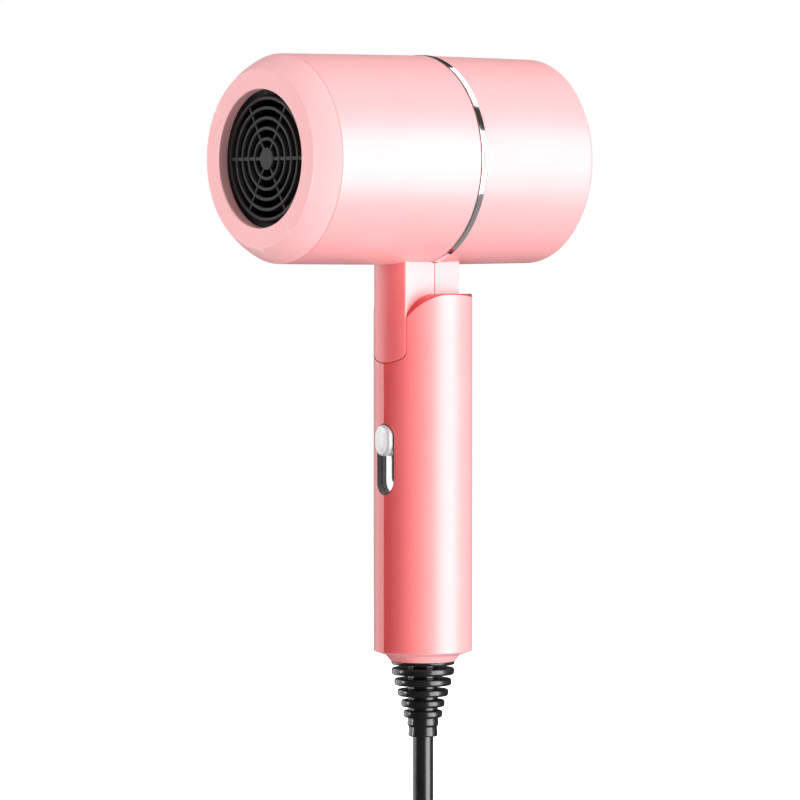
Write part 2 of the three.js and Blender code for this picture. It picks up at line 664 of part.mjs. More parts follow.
// Plated tray in the opening, with a slot in its floor for the button's stem.
function switchBezel() {
  const skin = GAP;
  const outer = stadium(SLIDE_HALF_WIDTH - skin, SLIDE_BOTTOM_Z + skin, SLIDE_TOP_Z - skin);
  const wall = skin + BEZEL_WALL;
  const inner = stadium(SLIDE_HALF_WIDTH - wall, SLIDE_BOTTOM_Z + wall, SLIDE_TOP_Z - wall);
  const flange = stadium(7, SLIDE_BOTTOM_Z - 2, SLIDE_TOP_Z + 2);
  const stemSlot = stadium(1.7, BUTTON_Z - 13.8, BUTTON_Z + 3);
  const tray = common(
    join(prismY(outer, -20, SLIDE_FLOOR_Y + 1, 8), prismY(flange, SLIDE_FLOOR_Y, SLIDE_FLOOR_Y + 1, 6)),
    rodZ(HANDLE_R + 0.1, -140, -80, HANDLE_FACETS),
  );
  return cut(tray, prismY(inner, -20, SLIDE_FLOOR_Y, 8), prismY(stemSlot, -20, 0, 4));
}

// Oval button with a domed face.
function switchButton() {
  const halfWidth = SLIDE_HALF_WIDTH - BEZEL_WALL - 2 * GAP - 0.2;
  const base = SLIDE_FLOOR_Y - GAP;
  const shoulder = -HANDLE_R + 1.2;
  const oval = rodY(1, shoulder, base, 24).scale(halfWidth, 1, BUTTON_HALF_HEIGHT);
  const domeHeight = HANDLE_R + BUTTON_PROUD + shoulder;
  const dome = common(
    new THREE.SphereGeometry(1, 24, 8).rotateX(Math.PI / 2).scale(halfWidth, domeHeight, BUTTON_HALF_HEIGHT)
      .translate(0, shoulder, 0),
    box(-9, 9, -30, shoulder + 0.4, -9, 9),
  );
  return join(oval, dome).translate([0, 0, BUTTON_Z]);
}

// Slider behind the bezel: its stem reaches the button and its fork holds the lever.
function switchCarriage() {
  const stem = box(-1.3, 1.3, SLIDE_FLOOR_Y, -11, -1.6, 1.6);
  const plate = box(-4, 4, -11.6, -10, -6, 6);
  const prongs = [-1, 1].map((side) => box(-1.5, 1.5, -10.4, -8.2, 1.9 * side - 0.6, 1.9 * side + 0.6));
  return join(plate, stem, ...prongs).translate([0, 0, BUTTON_Z]);
}

const switchLever = () => box(-1.2, 1.2, -9.6, -6.9, -0.9, 0.9).translate(0, 0, BUTTON_Z);

function slideSwitchBody() {
  const body = box(-6, 6, -6.4, 0.4, -121, -91);
  const leverWell = box(-1.8, 1.8, -8, -4.6, -115, -96.8);
  const terminals = [-94, -106, -118].map((z) => box(-1.2, 1.2, 0, 3, z - 0.3, z + 0.3));
  return join(cut(body, leverWell), ...terminals);
}

const speedDiode = () => rodZ(2.2, -112, -101, 16).translate(6.2, 4.4, 0);

const handleLead = (side) => wire([
  [2.2 * side, -11, -69.4],
  [2.2 * side, -11, -77],
  [2.4 * side, -7, -84],
  [2.4 * side, 1, -87.6],
  [2.4 * side, 3.4, -92],
], LEAD_R, 8);

// ---------- cord ----------
const CORE_X = 1.45; // half the distance between the two cores
const JACKET_TOP_Z = -145;

const cordClamp = () => cut(
  box(CORD_R + 0.4, CORD_R + 2.8, -9.2, 9.2, CLAMP_Z - 3, CLAMP_Z + 3),
  ...CLAMP_POSTS.map((y) => rodX(CLAMP_SCREW_R + GAP, 0, 20, 10).translate(0, y, CLAMP_Z)),
);

const clampScrew = (y) => screwX(2.2, CLAMP_SCREW_R, CORD_R + 4.7, 1.6, -5, y, CLAMP_Z);

// Rubber boot: tapering round rings on a sleeve, held in the hole of the handle's collar.
function strainReliefBoot() {
  const bore = CORD_R + 0.35;
  const half = 1.35; // half a ring's thickness
  const flange = COLLAR_BOTTOM_Z - GAP;
  const sleeveTop = BOOT_FIRST_RING_Z - 4 * BOOT_PITCH - 1.7;
  const rings = BOOT_RING_RADII.map((r, i) => {
    const z = BOOT_FIRST_RING_Z - i * BOOT_PITCH;
    return [[BOOT_CORE_R, z - half], [r, z - half + 0.5], [r, z + half - 0.5], [BOOT_CORE_R, z + half]];
  }).reverse().flat();
  return turnedZ([
    [bore, BOOT_END_Z],
    [5.1, BOOT_END_Z],
    [5.1, BOOT_END_Z + 3.8],
    [5.45, BOOT_END_Z + 3.8],
    [5.45, sleeveTop],
    [BOOT_CORE_R, sleeveTop],
    ...rings,
    [BOOT_CORE_R, flange - 1.2],
    [11.1, flange - 1.2],
    [11.3, flange],
    [BOOT_SLEEVE_R, flange],
    [BOOT_SLEEVE_R, HOLLOW_BOTTOM_Z + GAP],
    [10, HOLLOW_BOTTOM_Z + GAP],
    [10, HOLLOW_BOTTOM_Z + 2.3],
    [bore, HOLLOW_BOTTOM_Z + 2.3],
  ], SMALL_FACETS);
}

const powerCord = () => cut(
  rodZ(CORD_R, CORD_END_Z, JACKET_TOP_Z, 24),
  ...[-1, 1].map((side) =>
    rodZ(CORE_R + GAP, CORD_END_Z - 1, JACKET_TOP_Z + 1, 12).translate(CORE_X * side, 0, 0)),
);

// Insulated core: straight inside the jacket, then bent back to the switch.
function cordCore(side) {
  const straight = rodZ(CORE_R, CORD_END_Z, JACKET_TOP_Z + 4, 12).translate(CORE_X * side, 0, 0);
  const bend = wire([
    [CORE_X * side, 0, JACKET_TOP_Z + 3.5],
    [CORE_X * side, 0.2, JACKET_TOP_Z + 8],
    [2.2 * side, 2.4, -129],
    [2.4 * side, 5, -121],
  ], 1, 8);
  return join(straight, bend);
}

// ---------- assembly ----------
const dryer = new THREE.Group();

const head = new THREE.Group();
dryer.add(head);
addPart(head, 'nose_cap', noseCap(), pinkShell);
addPart(head, 'front_housing', frontHousing(), pinkShell);
addPart(head, 'rear_housing', rearHousing(), pinkShell);
addPart(head, 'trim_ring', trimRing(), chrome);
addPart(head, 'outlet_grille', outletGrille(), greyPlastic);
addPart(head, 'rear_cover', rearCover(), greyPlastic);
addPart(head, 'dust_filter', dustFilter(), wireMesh);
addPart(head, 'housing_screw_left', housingScrew(-1), steel);
addPart(head, 'housing_screw_right', housingScrew(1), steel);
addPart(head, 'neck_screw', neckScrew(), steel);
addPart(head, 'motor_duct', motorDuct(), blackPlastic);
addPart(head, 'motor_can', motorCan(), steel);
addPart(head, 'motor_end_cap', motorEndCap(), blackPlastic);
addPart(head, 'motor_magnet_left', motorMagnet(Math.PI), ferrite);
addPart(head, 'motor_magnet_right', motorMagnet(0), ferrite);
addPart(head, 'motor_brush_left', motorBrush(-1), ferrite);
addPart(head, 'motor_brush_right', motorBrush(1), ferrite);
addPart(head, 'motor_bush_rear', motorBush(-31.2, -28.2), bronze);
addPart(head, 'motor_bush_front', motorBush(-56.6, -53.6), bronze);
addPart(head, 'rectifier_board', rectifierBoard(), circuitBoard);
addPart(head, 'heat_shield', heatShield(), mica);
addPart(head, 'heater_board_upright', heaterBoardUpright(), mica);
addPart(head, 'heater_board_level', heaterBoardLevel(), mica);
addPart(head, 'heater_coil_rear', heaterCoil(-84, -71, 5), heaterWire);
addPart(head, 'heater_coil_front', heaterCoil(-103, -89, 6), heaterWire);
addPart(head, 'thermostat', thermostat(), steel);
addPart(head, 'thermal_fuse', thermalFuse(), steel);
addPart(head, 'head_lead_live', headLead(-1), brownCore);
addPart(head, 'head_lead_neutral', headLead(1), blueCore);

const fan = new THREE.Group();
head.add(fan);
addPart(fan, 'fan_impeller', fanImpeller(), blackPlastic);
addPart(fan, 'motor_shaft', motorShaft(), steel);
addPart(fan, 'motor_armature', motorArmature(), steel);
addPart(fan, 'motor_commutator', commutator(), bronze);

const handle = new THREE.Group();
handle.position.set(0, HANDLE_Y, 0);
dryer.add(handle);
addPart(handle, 'handle_shell_left', handleShellLeft(), pinkShell);
addPart(handle, 'handle_shell_right', handleShellRight(), pinkShell);
addPart(handle, 'handle_screw_upper', shellScrew(SHELL_SCREWS[0]), steel);
addPart(handle, 'handle_screw_lower', shellScrew(SHELL_SCREWS[1]), steel);
addPart(handle, 'hinge_pin', hingePin(), steel);
addPart(handle, 'friction_washer_left', frictionWasher(-1), blackPlastic);
addPart(handle, 'friction_washer_right', frictionWasher(1), blackPlastic);
addPart(handle, 'switch_bezel', switchBezel(), chrome);
addPart(handle, 'slide_switch_body', slideSwitchBody(), blackPlastic);
addPart(handle, 'speed_diode', speedDiode(), blackPlastic);
addPart(handle, 'handle_lead_live', handleLead(-1), brownCore);
addPart(handle, 'handle_lead_neutral', handleLead(1), blueCore);
addPart(handle, 'cord_clamp', cordClamp(), blackPlastic);
addPart(handle, 'cord_clamp_screw_front', clampScrew(CLAMP_POSTS[0]), steel);
addPart(handle, 'cord_clamp_screw_rear', clampScrew(CLAMP_POSTS[1]), steel);
addPart(handle, 'strain_relief_boot', strainReliefBoot(), blackRubber);
addPart(handle, 'power_cord', powerCord(), blackRubber);
addPart(handle, 'cord_core_live', cordCore(-1), brownCore);
addPart(handle, 'cord_core_neutral', cordCore(1), blueCore);

const slider = new THREE.Group();
handle.add(slider);
addPart(slider, 'switch_button', switchButton(), chrome);
addPart(slider, 'switch_carriage', switchCarriage(), blackPlastic);
addPart(slider, 'switch_lever', switchLever(), blackPlastic);

export default dryer;
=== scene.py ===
# The looks of a folding travel hair dryer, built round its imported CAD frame.
# Shapes are worked out in millimetres, in the CAD's own frame, and scaled to metres at the end.
import json
import math

import bmesh
import bpy
from mathutils import Matrix, Vector


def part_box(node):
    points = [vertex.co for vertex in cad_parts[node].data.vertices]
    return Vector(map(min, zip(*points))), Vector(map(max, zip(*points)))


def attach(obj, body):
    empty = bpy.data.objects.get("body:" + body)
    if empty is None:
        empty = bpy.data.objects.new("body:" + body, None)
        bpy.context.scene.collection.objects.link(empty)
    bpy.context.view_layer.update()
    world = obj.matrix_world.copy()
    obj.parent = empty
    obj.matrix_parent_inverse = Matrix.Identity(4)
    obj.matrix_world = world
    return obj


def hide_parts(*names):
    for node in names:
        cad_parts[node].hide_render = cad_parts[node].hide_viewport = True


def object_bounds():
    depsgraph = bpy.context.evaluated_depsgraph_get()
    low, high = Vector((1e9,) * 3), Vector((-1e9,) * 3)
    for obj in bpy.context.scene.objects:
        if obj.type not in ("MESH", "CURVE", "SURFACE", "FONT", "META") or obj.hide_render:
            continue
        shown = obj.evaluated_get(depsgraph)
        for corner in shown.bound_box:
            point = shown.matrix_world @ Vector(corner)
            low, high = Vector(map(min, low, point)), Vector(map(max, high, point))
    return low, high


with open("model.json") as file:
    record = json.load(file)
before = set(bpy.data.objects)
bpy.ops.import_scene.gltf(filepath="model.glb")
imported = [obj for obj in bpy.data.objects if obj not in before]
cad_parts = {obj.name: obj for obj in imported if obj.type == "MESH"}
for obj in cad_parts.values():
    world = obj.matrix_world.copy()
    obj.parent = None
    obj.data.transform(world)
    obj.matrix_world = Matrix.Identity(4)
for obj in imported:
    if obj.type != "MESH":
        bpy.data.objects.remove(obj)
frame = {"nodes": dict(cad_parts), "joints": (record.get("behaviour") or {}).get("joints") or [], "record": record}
cad_low, cad_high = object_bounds()

MM = 0.001


def box_mm(node):
    """A CAD node's box, in millimetres."""
    low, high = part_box(node)
    return low / MM, high / MM


# ---------- driving dimensions, from the frame ----------
NOSE_LOW, NOSE_HIGH = box_mm("nose_cap")
RING_LOW, RING_HIGH = box_mm("trim_ring")
REAR_HIGH = box_mm("rear_housing")[1]
SHELL_LOW, SHELL_HIGH = box_mm("handle_shell_right")
WASHER_LOW = box_mm("friction_washer_right")[0]
BEZEL_LOW, BEZEL_HIGH = box_mm("switch_bezel")
BUTTON_LOW, BUTTON_HIGH = box_mm("switch_button")
BOOT_LOW, BOOT_HIGH = box_mm("strain_relief_boot")
CORD_LOW, CORD_HIGH = box_mm("power_cord")
FOLD = next(joint for joint in frame["joints"] if joint["name"] == "handle_fold")

FRONT_Y = NOSE_LOW.y
BARREL_END_R = NOSE_HIGH.x
BARREL_R = BARREL_END_R + 0.5
BARREL_INNER_R = BARREL_END_R - 2.05
RING_R = RING_HIGH.x
SPLIT_Y = RING_LOW.y - 0.15
HANDLE_Y = (CORD_LOW.y + CORD_HIGH.y) / 2
HANDLE_R = SHELL_HIGH.x
HANDLE_INNER_R = HANDLE_R - 2.4
HANDLE_TOP_Z = SHELL_HIGH.z
COLLAR_Z = SHELL_LOW.z
SLOT_HALF = WASHER_LOW.x
NECK_HALF = SLOT_HALF - 0.3
PIVOT_Y = FOLD["pos_m"][1] / MM
PIVOT_Z = FOLD["pos_m"][2] / MM
CORD_R = CORD_HIGH.x

# ---------- dimensions of the looks ----------
NOSE_LENGTH = 8.5
NOSE_FACE_R = 31.0
OUTLET_R = 24.0
LIP_DEPTH = 4.0
JOINT_GAP = 0.12
JOINT_EDGE = 0.14
NECK_REAR = 9.4
NECK_TOP_Z = -35.2
TONGUE_BOTTOM_Z = -71.4
TONGUE_SIDE_Z = -69.0
TONGUE_CORNER = 1.8
SLOT_FLOOR_Z = TONGUE_BOTTOM_Z - 0.3
CHEEK_ARC_R = 13.0
HANDLE_BOTTOM_Z = COLLAR_Z + 3.3
SEAM = 0.04

BARREL_STEPS = 180
SMALL_STEPS = 64


# ---------- outlines ----------
def rounded(corners, steps=5):
    """A closed outline from (u, v, radius) corners, each corner turned into an arc."""
    outline = []
    for i, (u, v, radius) in enumerate(corners):
        corner = Vector((u, v))
        if radius == 0:
            outline.append(corner)
            continue
        back = (Vector(corners[i - 1][:2]) - corner).normalized()
        ahead = (Vector(corners[(i + 1) % len(corners)][:2]) - corner).normalized()
        half = back.angle(ahead) / 2
        reach = radius / math.tan(half)
        centre = corner + (back + ahead).normalized() * (radius / math.sin(half))
        start = corner + back * reach - centre
        sweep = start.angle_signed(corner + ahead * reach - centre)
        for k in range(steps + 1):
            arm = start.copy()
            arm.rotate(Matrix.Rotation(-sweep * k / steps, 2))
            outline.append(centre + arm)
    return [(p[0], p[1]) for p in outline]


def arc(centre, radius, start, end, steps):
    """Points on a circle, angles in degrees."""
    angles = [math.radians(start + (end - start) * k / steps) for k in range(steps + 1)]
    return [(centre[0] + radius * math.cos(a), centre[1] + radius * math.sin(a)) for a in angles]


def stadium(half_width, low, high, steps=20):
    """An upright slot with round ends, in (x, z)."""
    top = arc((0, high - half_width), half_width, 0, 180, steps)
    return top + arc((0, low + half_width), half_width, 180, 360, steps)


# ---------- meshes ----------
def skin(loops, closed=False):
    """A closed solid through loops of points with equal counts, capped unless its ends meet."""
    bm = bmesh.new()
    rings = [[bm.verts.new(point) for point in loop] for loop in loops]
    pairs = list(zip(rings, rings[1:]))
    if closed:
        pairs.append((rings[-1], rings[0]))
    for first, second in pairs:
        for k in range(len(first)):
            bm.faces.new((first[k - 1], first[k], second[k], second[k - 1]))
    if not closed:
        bm.faces.new(rings[0])
        bm.faces.new(rings[-1])
    bmesh.ops.remove_doubles(bm, verts=bm.verts, dist=1e-4)
    bmesh.ops.dissolve_degenerate(bm, edges=bm.edges, dist=1e-5)
    bmesh.ops.recalc_face_normals(bm, faces=bm.faces)
    return bm


def solid(bm, name="solid"):
    """An object, still in millimetres, from a bmesh."""
    mesh = bpy.data.meshes.new(name)
    bm.to_mesh(mesh)
    bm.free()
    made = bpy.data.objects.new(name, mesh)
    bpy.context.scene.collection.objects.link(made)
    return made


def along(axis, centre, radius, angle, height):
    """The point at an angle round an axis, height being the coordinate on that axis."""
    c, s = radius * math.cos(angle), radius * math.sin(angle)
    if axis == "X":
        return height, centre[0] + c, centre[1] + s
    if axis == "Y":
        return centre[0] + c, height, centre[1] + s
    return centre[0] + c, centre[1] + s, height


def turned(outline, axis="Y", centre=(0, 0), steps=BARREL_STEPS):
    """A closed (radius, height) outline turned about an axis."""
    return solid(skin([
        [along(axis, centre, r, 2 * math.pi * k / steps, h) for r, h in outline]
        for k in range(steps)
    ], closed=True))


def rod(radius, low, high, axis, centre, steps=SMALL_STEPS, edge=0.0):
    """A round bar between two heights on an axis."""
    return turned(rounded([(0, low, 0), (radius, low, edge), (radius, high, edge), (0, high, 0)]),
                  axis, centre, steps)


def prism(outline, low, high, axis="Y"):
    """A solid of an outline drawn across an axis: (x, z) along Y, (y, z) along X."""
    if axis == "Y":
        return solid(skin([[(u, level, v) for u, v in outline] for level in (low, high)]))
    return solid(skin([[(level, u, v) for u, v in outline] for level in (low, high)]))


def block(low, high, edge=0.0):
    """A box with softened edges."""
    bm = bmesh.new()
    bmesh.ops.create_cube(bm, size=1)
    size = Vector(high) - Vector(low)
    centre = (Vector(high) + Vector(low)) / 2
    bmesh.ops.transform(bm, matrix=Matrix.LocRotScale(centre, None, size), verts=bm.verts)
    if edge:
        bmesh.ops.bevel(bm, geom=bm.edges, offset=edge, segments=2, profile=0.5, affect="EDGES")
    return solid(bm)


def combine(piece, tools, operation):
    """The piece joined with, or cut by, the tools, which are used up."""
    for tool in tools:
        modifier = piece.modifiers.new("boolean", "BOOLEAN")
        modifier.operation = operation
        modifier.solver = "MANIFOLD"
        modifier.object = tool
        bpy.context.view_layer.update()
        shown = piece.evaluated_get(bpy.context.evaluated_depsgraph_get())
        result = bpy.data.meshes.new_from_object(shown)
        piece.modifiers.clear()
        piece.data = result
        bpy.data.objects.remove(tool)
    return piece


def join(piece, *tools):
    return combine(piece, tools, "UNION")


def cut(piece, *tools):
    return combine(piece, tools, "DIFFERENCE")


def turn_about_y(piece, angle):
    """The piece, turned about the barrel's axis."""
    piece.data.transform(Matrix.Rotation(angle, 4, "Y"))
    return piece


def finish_piece(piece, name, body, nodes, material, sharp=32):
    """Scales a piece to metres, shades it, and puts it in place of its CAD nodes."""
    piece.name = piece.data.name = name
    piece.data.transform(Matrix.Scale(MM, 4))
    piece.data.materials.clear()
    piece.data.materials.append(material)
    piece.data.shade_smooth()
    piece.data.set_sharp_from_angle(angle=math.radians(sharp))
    weighted = piece.modifiers.new("weighted_normals", "WEIGHTED_NORMAL")
    weighted.keep_sharp = True
    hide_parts(*nodes)
    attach(piece, body)
    return piece


# ---------- materials ----------
class Nodes:
    """Short-hand for building one material round a single Principled shader."""

    def __init__(self, name):
        self.material = bpy.data.materials.new(name)
        self.material.use_nodes = True
        self.tree = self.material.node_tree
        self.shader = self.tree.nodes["Principled BSDF"]
        coordinates = self.tree.nodes.new("ShaderNodeTexCoord")
        self.where = coordinates.outputs["Object"]
        self.facing = coordinates.outputs["Normal"]

    def link(self, source, target):
        self.tree.links.new(source, target)

    def noise(self, size_mm, detail=2.0, stretch=None):
        """Smooth random values, size_mm being the grain's size."""
        node = self.tree.nodes.new("ShaderNodeTexNoise")
        node.inputs["Scale"].default_value = 1 / (size_mm * MM)
        node.inputs["Detail"].default_value = detail
        where = self.where
        if stretch:
            mapping = self.tree.nodes.new("ShaderNodeMapping")
            mapping.inputs["Scale"].default_value = stretch
            self.link(where, mapping.inputs["Vector"])
            where = mapping.outputs["Vector"]
        self.link(where, node.inputs["Vector"])
        return node.outputs["Fac"]

    def spread(self, value, low, high, start=0.3, end=0.7):
        """Maps start..end of a value to low..high."""
        node = self.tree.nodes.new("ShaderNodeMapRange")
        node.inputs["From Min"].default_value = start
        node.inputs["From Max"].default_value = end
        node.inputs["To Min"].default_value = low
        node.inputs["To Max"].default_value = high
        self.link(value, node.inputs["Value"])
        return node.outputs["Result"]

    def blend(self, factor, first, second):
        """A colour between two, either of which may be a socket."""
        node = self.tree.nodes.new("ShaderNodeMix")
        node.data_type = "RGBA"
        self.link(factor, node.inputs["Factor"])
        for socket, colour in ((node.inputs[6], first), (node.inputs[7], second)):
            if isinstance(colour, tuple):
                socket.default_value = (*colour, 1)
            else:
                self.link(colour, socket)
        return node.outputs[2]

    def height_of(self, vector):
        """The Z component of a vector."""
        node = self.tree.nodes.new("ShaderNodeSeparateXYZ")
        self.link(vector, node.inputs["Vector"])
        return node.outputs["Z"]

    def times(self, first, second):
        """The product of two values."""
        node = self.tree.nodes.new("ShaderNodeMath")
        node.operation = "MULTIPLY"
        self.link(first, node.inputs[0])
        self.link(second, node.inputs[1])
        return node.outputs["Value"]

    def bump(self, height, depth_mm, strength=1.0):
        node = self.tree.nodes.new("ShaderNodeBump")
        node.inputs["Distance"].default_value = depth_mm * MM
        node.inputs["Strength"].default_value = strength
        self.link(height, node.inputs["Height"])
        self.link(node.outputs["Normal"], self.shader.inputs["Normal"])

    def set(self, **values):
        for name, value in values.items():
            socket = self.shader.inputs[name.replace("_", " ")]
            if hasattr(value, "is_output"):
                self.link(value, socket)
            else:
                socket.default_value = value


# Heights over which the painted shade under the barrel fades in.
SHADE_LOW_Z = -45
SHADE_HIGH_Z = -42


def pearl_pink():
    """Satin pearl lacquer: a fine flake, slow drifts of tone, and sharp edges painted paler as a painted
    highlight.

    Painted shade: the fork's upward faces, which sit in the barrel's shade, are painted a deeper red.
    """
    n = Nodes("pearl_pink")
    drift = n.spread(n.noise(26), 0, 1)
    flake = n.spread(n.noise(0.16, 1), 0, 1, 0.35, 0.65)
    tone = n.blend(drift, (0.895, 0.445, 0.455), (0.905, 0.475, 0.485))
    pearl = n.blend(n.spread(flake, 0, 0.08, 0, 1), tone, (1.0, 0.72, 0.72))
    geometry = n.tree.nodes.new("ShaderNodeNewGeometry")
    # Painted highlight: sharp edges, found by pointiness, are painted paler.
    edge_highlight = n.spread(geometry.outputs["Pointiness"], 0, 0.45, 0.53, 0.62)
    lacquer = n.blend(edge_highlight, pearl, (1.0, 0.80, 0.79))
    # Painted shade: upward faces below the barrel are painted a deeper red.
    below_barrel = n.spread(n.height_of(n.where), 1, 0, SHADE_LOW_Z * MM, SHADE_HIGH_Z * MM)
    painted_shade_mask = n.times(n.spread(n.height_of(n.facing), 0, 1, 0.12, 0.30), below_barrel)
    n.set(
        Base_Color=n.blend(painted_shade_mask, lacquer, (0.58, 0.06, 0.07)),
        Metallic=0.12,
        Roughness=n.spread(flake, 0.40, 0.46, 0, 1),
        Coat_Weight=0.3,
        Coat_Roughness=0.28,
    )
    n.bump(n.noise(1.1, 1), 0.004, 0.5)
    return n.material


def chrome_plate():
    """Bright plating with a faint drift in its polish."""
    n = Nodes("chrome_plate")
    n.set(
        Base_Color=n.blend(n.spread(n.noise(9), 0, 1), (0.80, 0.81, 0.82), (0.88, 0.88, 0.89)),
        Metallic=1.0,
        Roughness=n.spread(n.noise(0.5, 3), 0.05, 0.11),
    )
    return n.material


def satin_plate():
    """Pale blasted plating on the switch's floor and button."""
    n = Nodes("satin_plate")
    grain = n.noise(0.3, 3)
    n.set(
        Base_Color=n.blend(n.spread(n.noise(4), 0, 1), (0.80, 0.80, 0.81), (0.87, 0.87, 0.88)),
        Metallic=0.25,
        Roughness=n.spread(grain, 0.38, 0.48),
    )
    n.bump(grain, 0.004, 0.5)
    return n.material


def moulded(name, dark, light, roughness, grain_mm=0.35, depth_mm=0.012, coat=0.0):
    """Moulded plastic or rubber with a fine spark-eroded grain and slow changes of tone."""
    n = Nodes(name)
    grain = n.noise(grain_mm, 3)
    n.set(
        Base_Color=n.blend(n.spread(n.noise(7, 3), 0, 1), dark, light),
        Roughness=n.spread(grain, roughness - 0.05, roughness + 0.05),
        Coat_Weight=coat,
        Coat_Roughness=0.12,
    )
    n.bump(grain, depth_mm, 0.6)
    return n.material


def brushed(name, dark, light, roughness, stretch=(1, 12, 1)):
    """Drawn or turned metal with fine lines."""
    n = Nodes(name)
    lines = n.noise(0.6, 3, stretch)
    n.set(
        Base_Color=n.blend(n.spread(lines, 0, 1), dark, light),
        Metallic=1.0,
        Roughness=n.spread(lines, roughness - 0.08, roughness + 0.08),
    )
    n.bump(lines, 0.004, 0.5)
    return n.material


def mica_sheet():
    """Pressed mica browned by heat, with flat flakes."""
    n = Nodes("mica_sheet")
    cells = n.tree.nodes.new("ShaderNodeTexVoronoi")
    cells.inputs["Scale"].default_value = 1 / (1.6 * MM)
    n.link(n.where, cells.inputs["Vector"])
    n.set(
        Base_Color=n.blend(cells.outputs["Distance"], (0.10, 0.075, 0.045), (0.045, 0.03, 0.02)),
        Roughness=n.spread(n.noise(0.8, 2), 0.35, 0.6),
    )
    n.bump(cells.outputs["Distance"], 0.02, 0.5)
    return n.material


MATERIALS = {
    "pink_shell": pearl_pink(),
    "chrome_trim": chrome_plate(),
    "satin_plate": satin_plate(),
    "grille_grey": moulded("grille_grey", (0.085, 0.085, 0.087), (0.100, 0.100, 0.102), 0.42),
    "filter_mesh": brushed("filter_mesh", (0.13, 0.13, 0.135), (0.19, 0.19, 0.195), 0.4),
    "black_plastic": moulded("black_plastic", (0.010, 0.010, 0.011), (0.018, 0.018, 0.019), 0.5),
    "black_rubber": moulded("black_rubber", (0.010, 0.010, 0.010), (0.016, 0.016, 0.017), 0.3,
                            0.25, 0.004, 0.8),
    "steel": brushed("steel", (0.42, 0.42, 0.43), (0.66, 0.66, 0.67), 0.3),
    "bronze": brushed("bronze", (0.36, 0.22, 0.10), (0.55, 0.36, 0.18), 0.42),
    "ferrite": moulded("ferrite", (0.030, 0.030, 0.032), (0.055, 0.055, 0.058), 0.65),
    "mica": mica_sheet(),
    "heater_wire": brushed("heater_wire", (0.07, 0.065, 0.06), (0.17, 0.16, 0.15), 0.42),
    "circuit_board": moulded("circuit_board", (0.02, 0.10, 0.035), (0.03, 0.15, 0.05), 0.4),
    "core_brown": moulded("core_brown", (0.13, 0.05, 0.02), (0.18, 0.075, 0.03), 0.4),
    "core_blue": moulded("core_blue", (0.02, 0.07, 0.30), (0.03, 0.10, 0.38), 0.4),
}


# ---------- barrel ----------
def nose_cap():
    """Flat ring round the outlet, a slightly crowned cone, and a spigot inside the barrel."""
    y = FRONT_Y
    cone_start = Vector((NOSE_FACE_R, y))
    cone_end = Vector((BARREL_END_R, y + NOSE_LENGTH))
    bulge = Vector((0.36, -0.2))
    cone = [cone_start.lerp(cone_end, t) + bulge * 4 * t * (1 - t) for t in (0.2, 0.4, 0.6, 0.8)]
    spigot = y + NOSE_LENGTH + 4.5
    return turned(rounded([
        (OUTLET_R, y, 0.5),
        (NOSE_FACE_R, y, 0.6),
        *[(p.x, p.y, 0) for p in cone],
        (BARREL_END_R, y + NOSE_LENGTH, JOINT_EDGE),
        (34, y + NOSE_LENGTH, 0),
        (34, spigot, 0),
        (32, spigot, 0),
        (NOSE_FACE_R - 1.6, y + LIP_DEPTH, 0),
        (OUTLET_R, y + LIP_DEPTH, 0.3),
    ]))


def inset(outline, amount):
    """An anticlockwise outline moved inwards by an amount."""
    moved = []
    count = len(outline)
    for k in range(count):
        here = Vector(outline[k])
        back = (here - Vector(outline[k - 1])).normalized()
        ahead = (Vector(outline[(k + 1) % count]) - here).normalized()
        normal = Vector((-back.y - ahead.y, back.x + ahead.x)).normalized()
        spread = max(normal.dot(Vector((-back.y, back.x))), 0.5)
        moved.append(tuple(here + normal * (amount / spread)))
    return moved


def slab(outline_at, half_width, edge, steps=24):
    """A solid from (y, z) outlines at each x, with its two side faces' edges rounded."""
    flat = half_width - edge
    inner = [flat * (2 * k / steps - 1) for k in range(steps + 1)]
    loops = [[(x, u, v) for u, v in outline_at(x)] for x in inner]
    for k in range(1, 5):
        angle = math.pi / 8 * k
        x = flat + edge * math.sin(angle)
        for side in (-1, 1):
            outline = inset(outline_at(side * x), edge * (1 - math.cos(angle)))
            loop = [(side * x, u, v) for u, v in outline]
            loops = [loop] + loops if side < 0 else loops + [loop]
    return solid(skin(loops))


def tongue_edge(x):
    """Height of the tongue's curved lower edge at x."""
    share = min(abs(x) / NECK_HALF, 1)
    z = TONGUE_BOTTOM_Z + (TONGUE_SIDE_Z - TONGUE_BOTTOM_Z) * share ** 2
    past = abs(x) - (NECK_HALF - TONGUE_CORNER)
    if past > 0:
        z += TONGUE_CORNER - math.sqrt(max(TONGUE_CORNER ** 2 - past ** 2, 0))
    return z


KNUCKLE_R = HANDLE_Y + NECK_REAR - PIVOT_Y
STRIP_BACK = HANDLE_Y - 13.2
STEP_Z = -68.0
NECK_SEAM = 0.1
STEP_ANGLE = math.degrees(math.asin((PIVOT_Z - STEP_Z) / KNUCKLE_R))


def handle_front(x):
    """Depth of the handle's round front at x."""
    return HANDLE_Y - math.sqrt(HANDLE_R ** 2 - x ** 2)


def front_neck(x):
    """(y, z) outline of the neck's front half at x: tongue in front, knuckle behind."""
    edge = tongue_edge(x)
    knuckle_end = -90 - math.degrees(math.asin(NECK_SEAM / KNUCKLE_R))
    split = PIVOT_Y - NECK_SEAM
    foot = rounded([(handle_front(x), -40, 0), (handle_front(x), edge, 0.3), (STRIP_BACK, edge, 0.3),
                    (STRIP_BACK, -40, 0)], 4)[1:-1]
    knuckle = arc((PIVOT_Y, PIVOT_Z), KNUCKLE_R, -180 + STEP_ANGLE, knuckle_end, 18)
    return [(handle_front(x), NECK_TOP_Z), *foot, (STRIP_BACK, STEP_Z), *knuckle, (split, NECK_TOP_Z)]


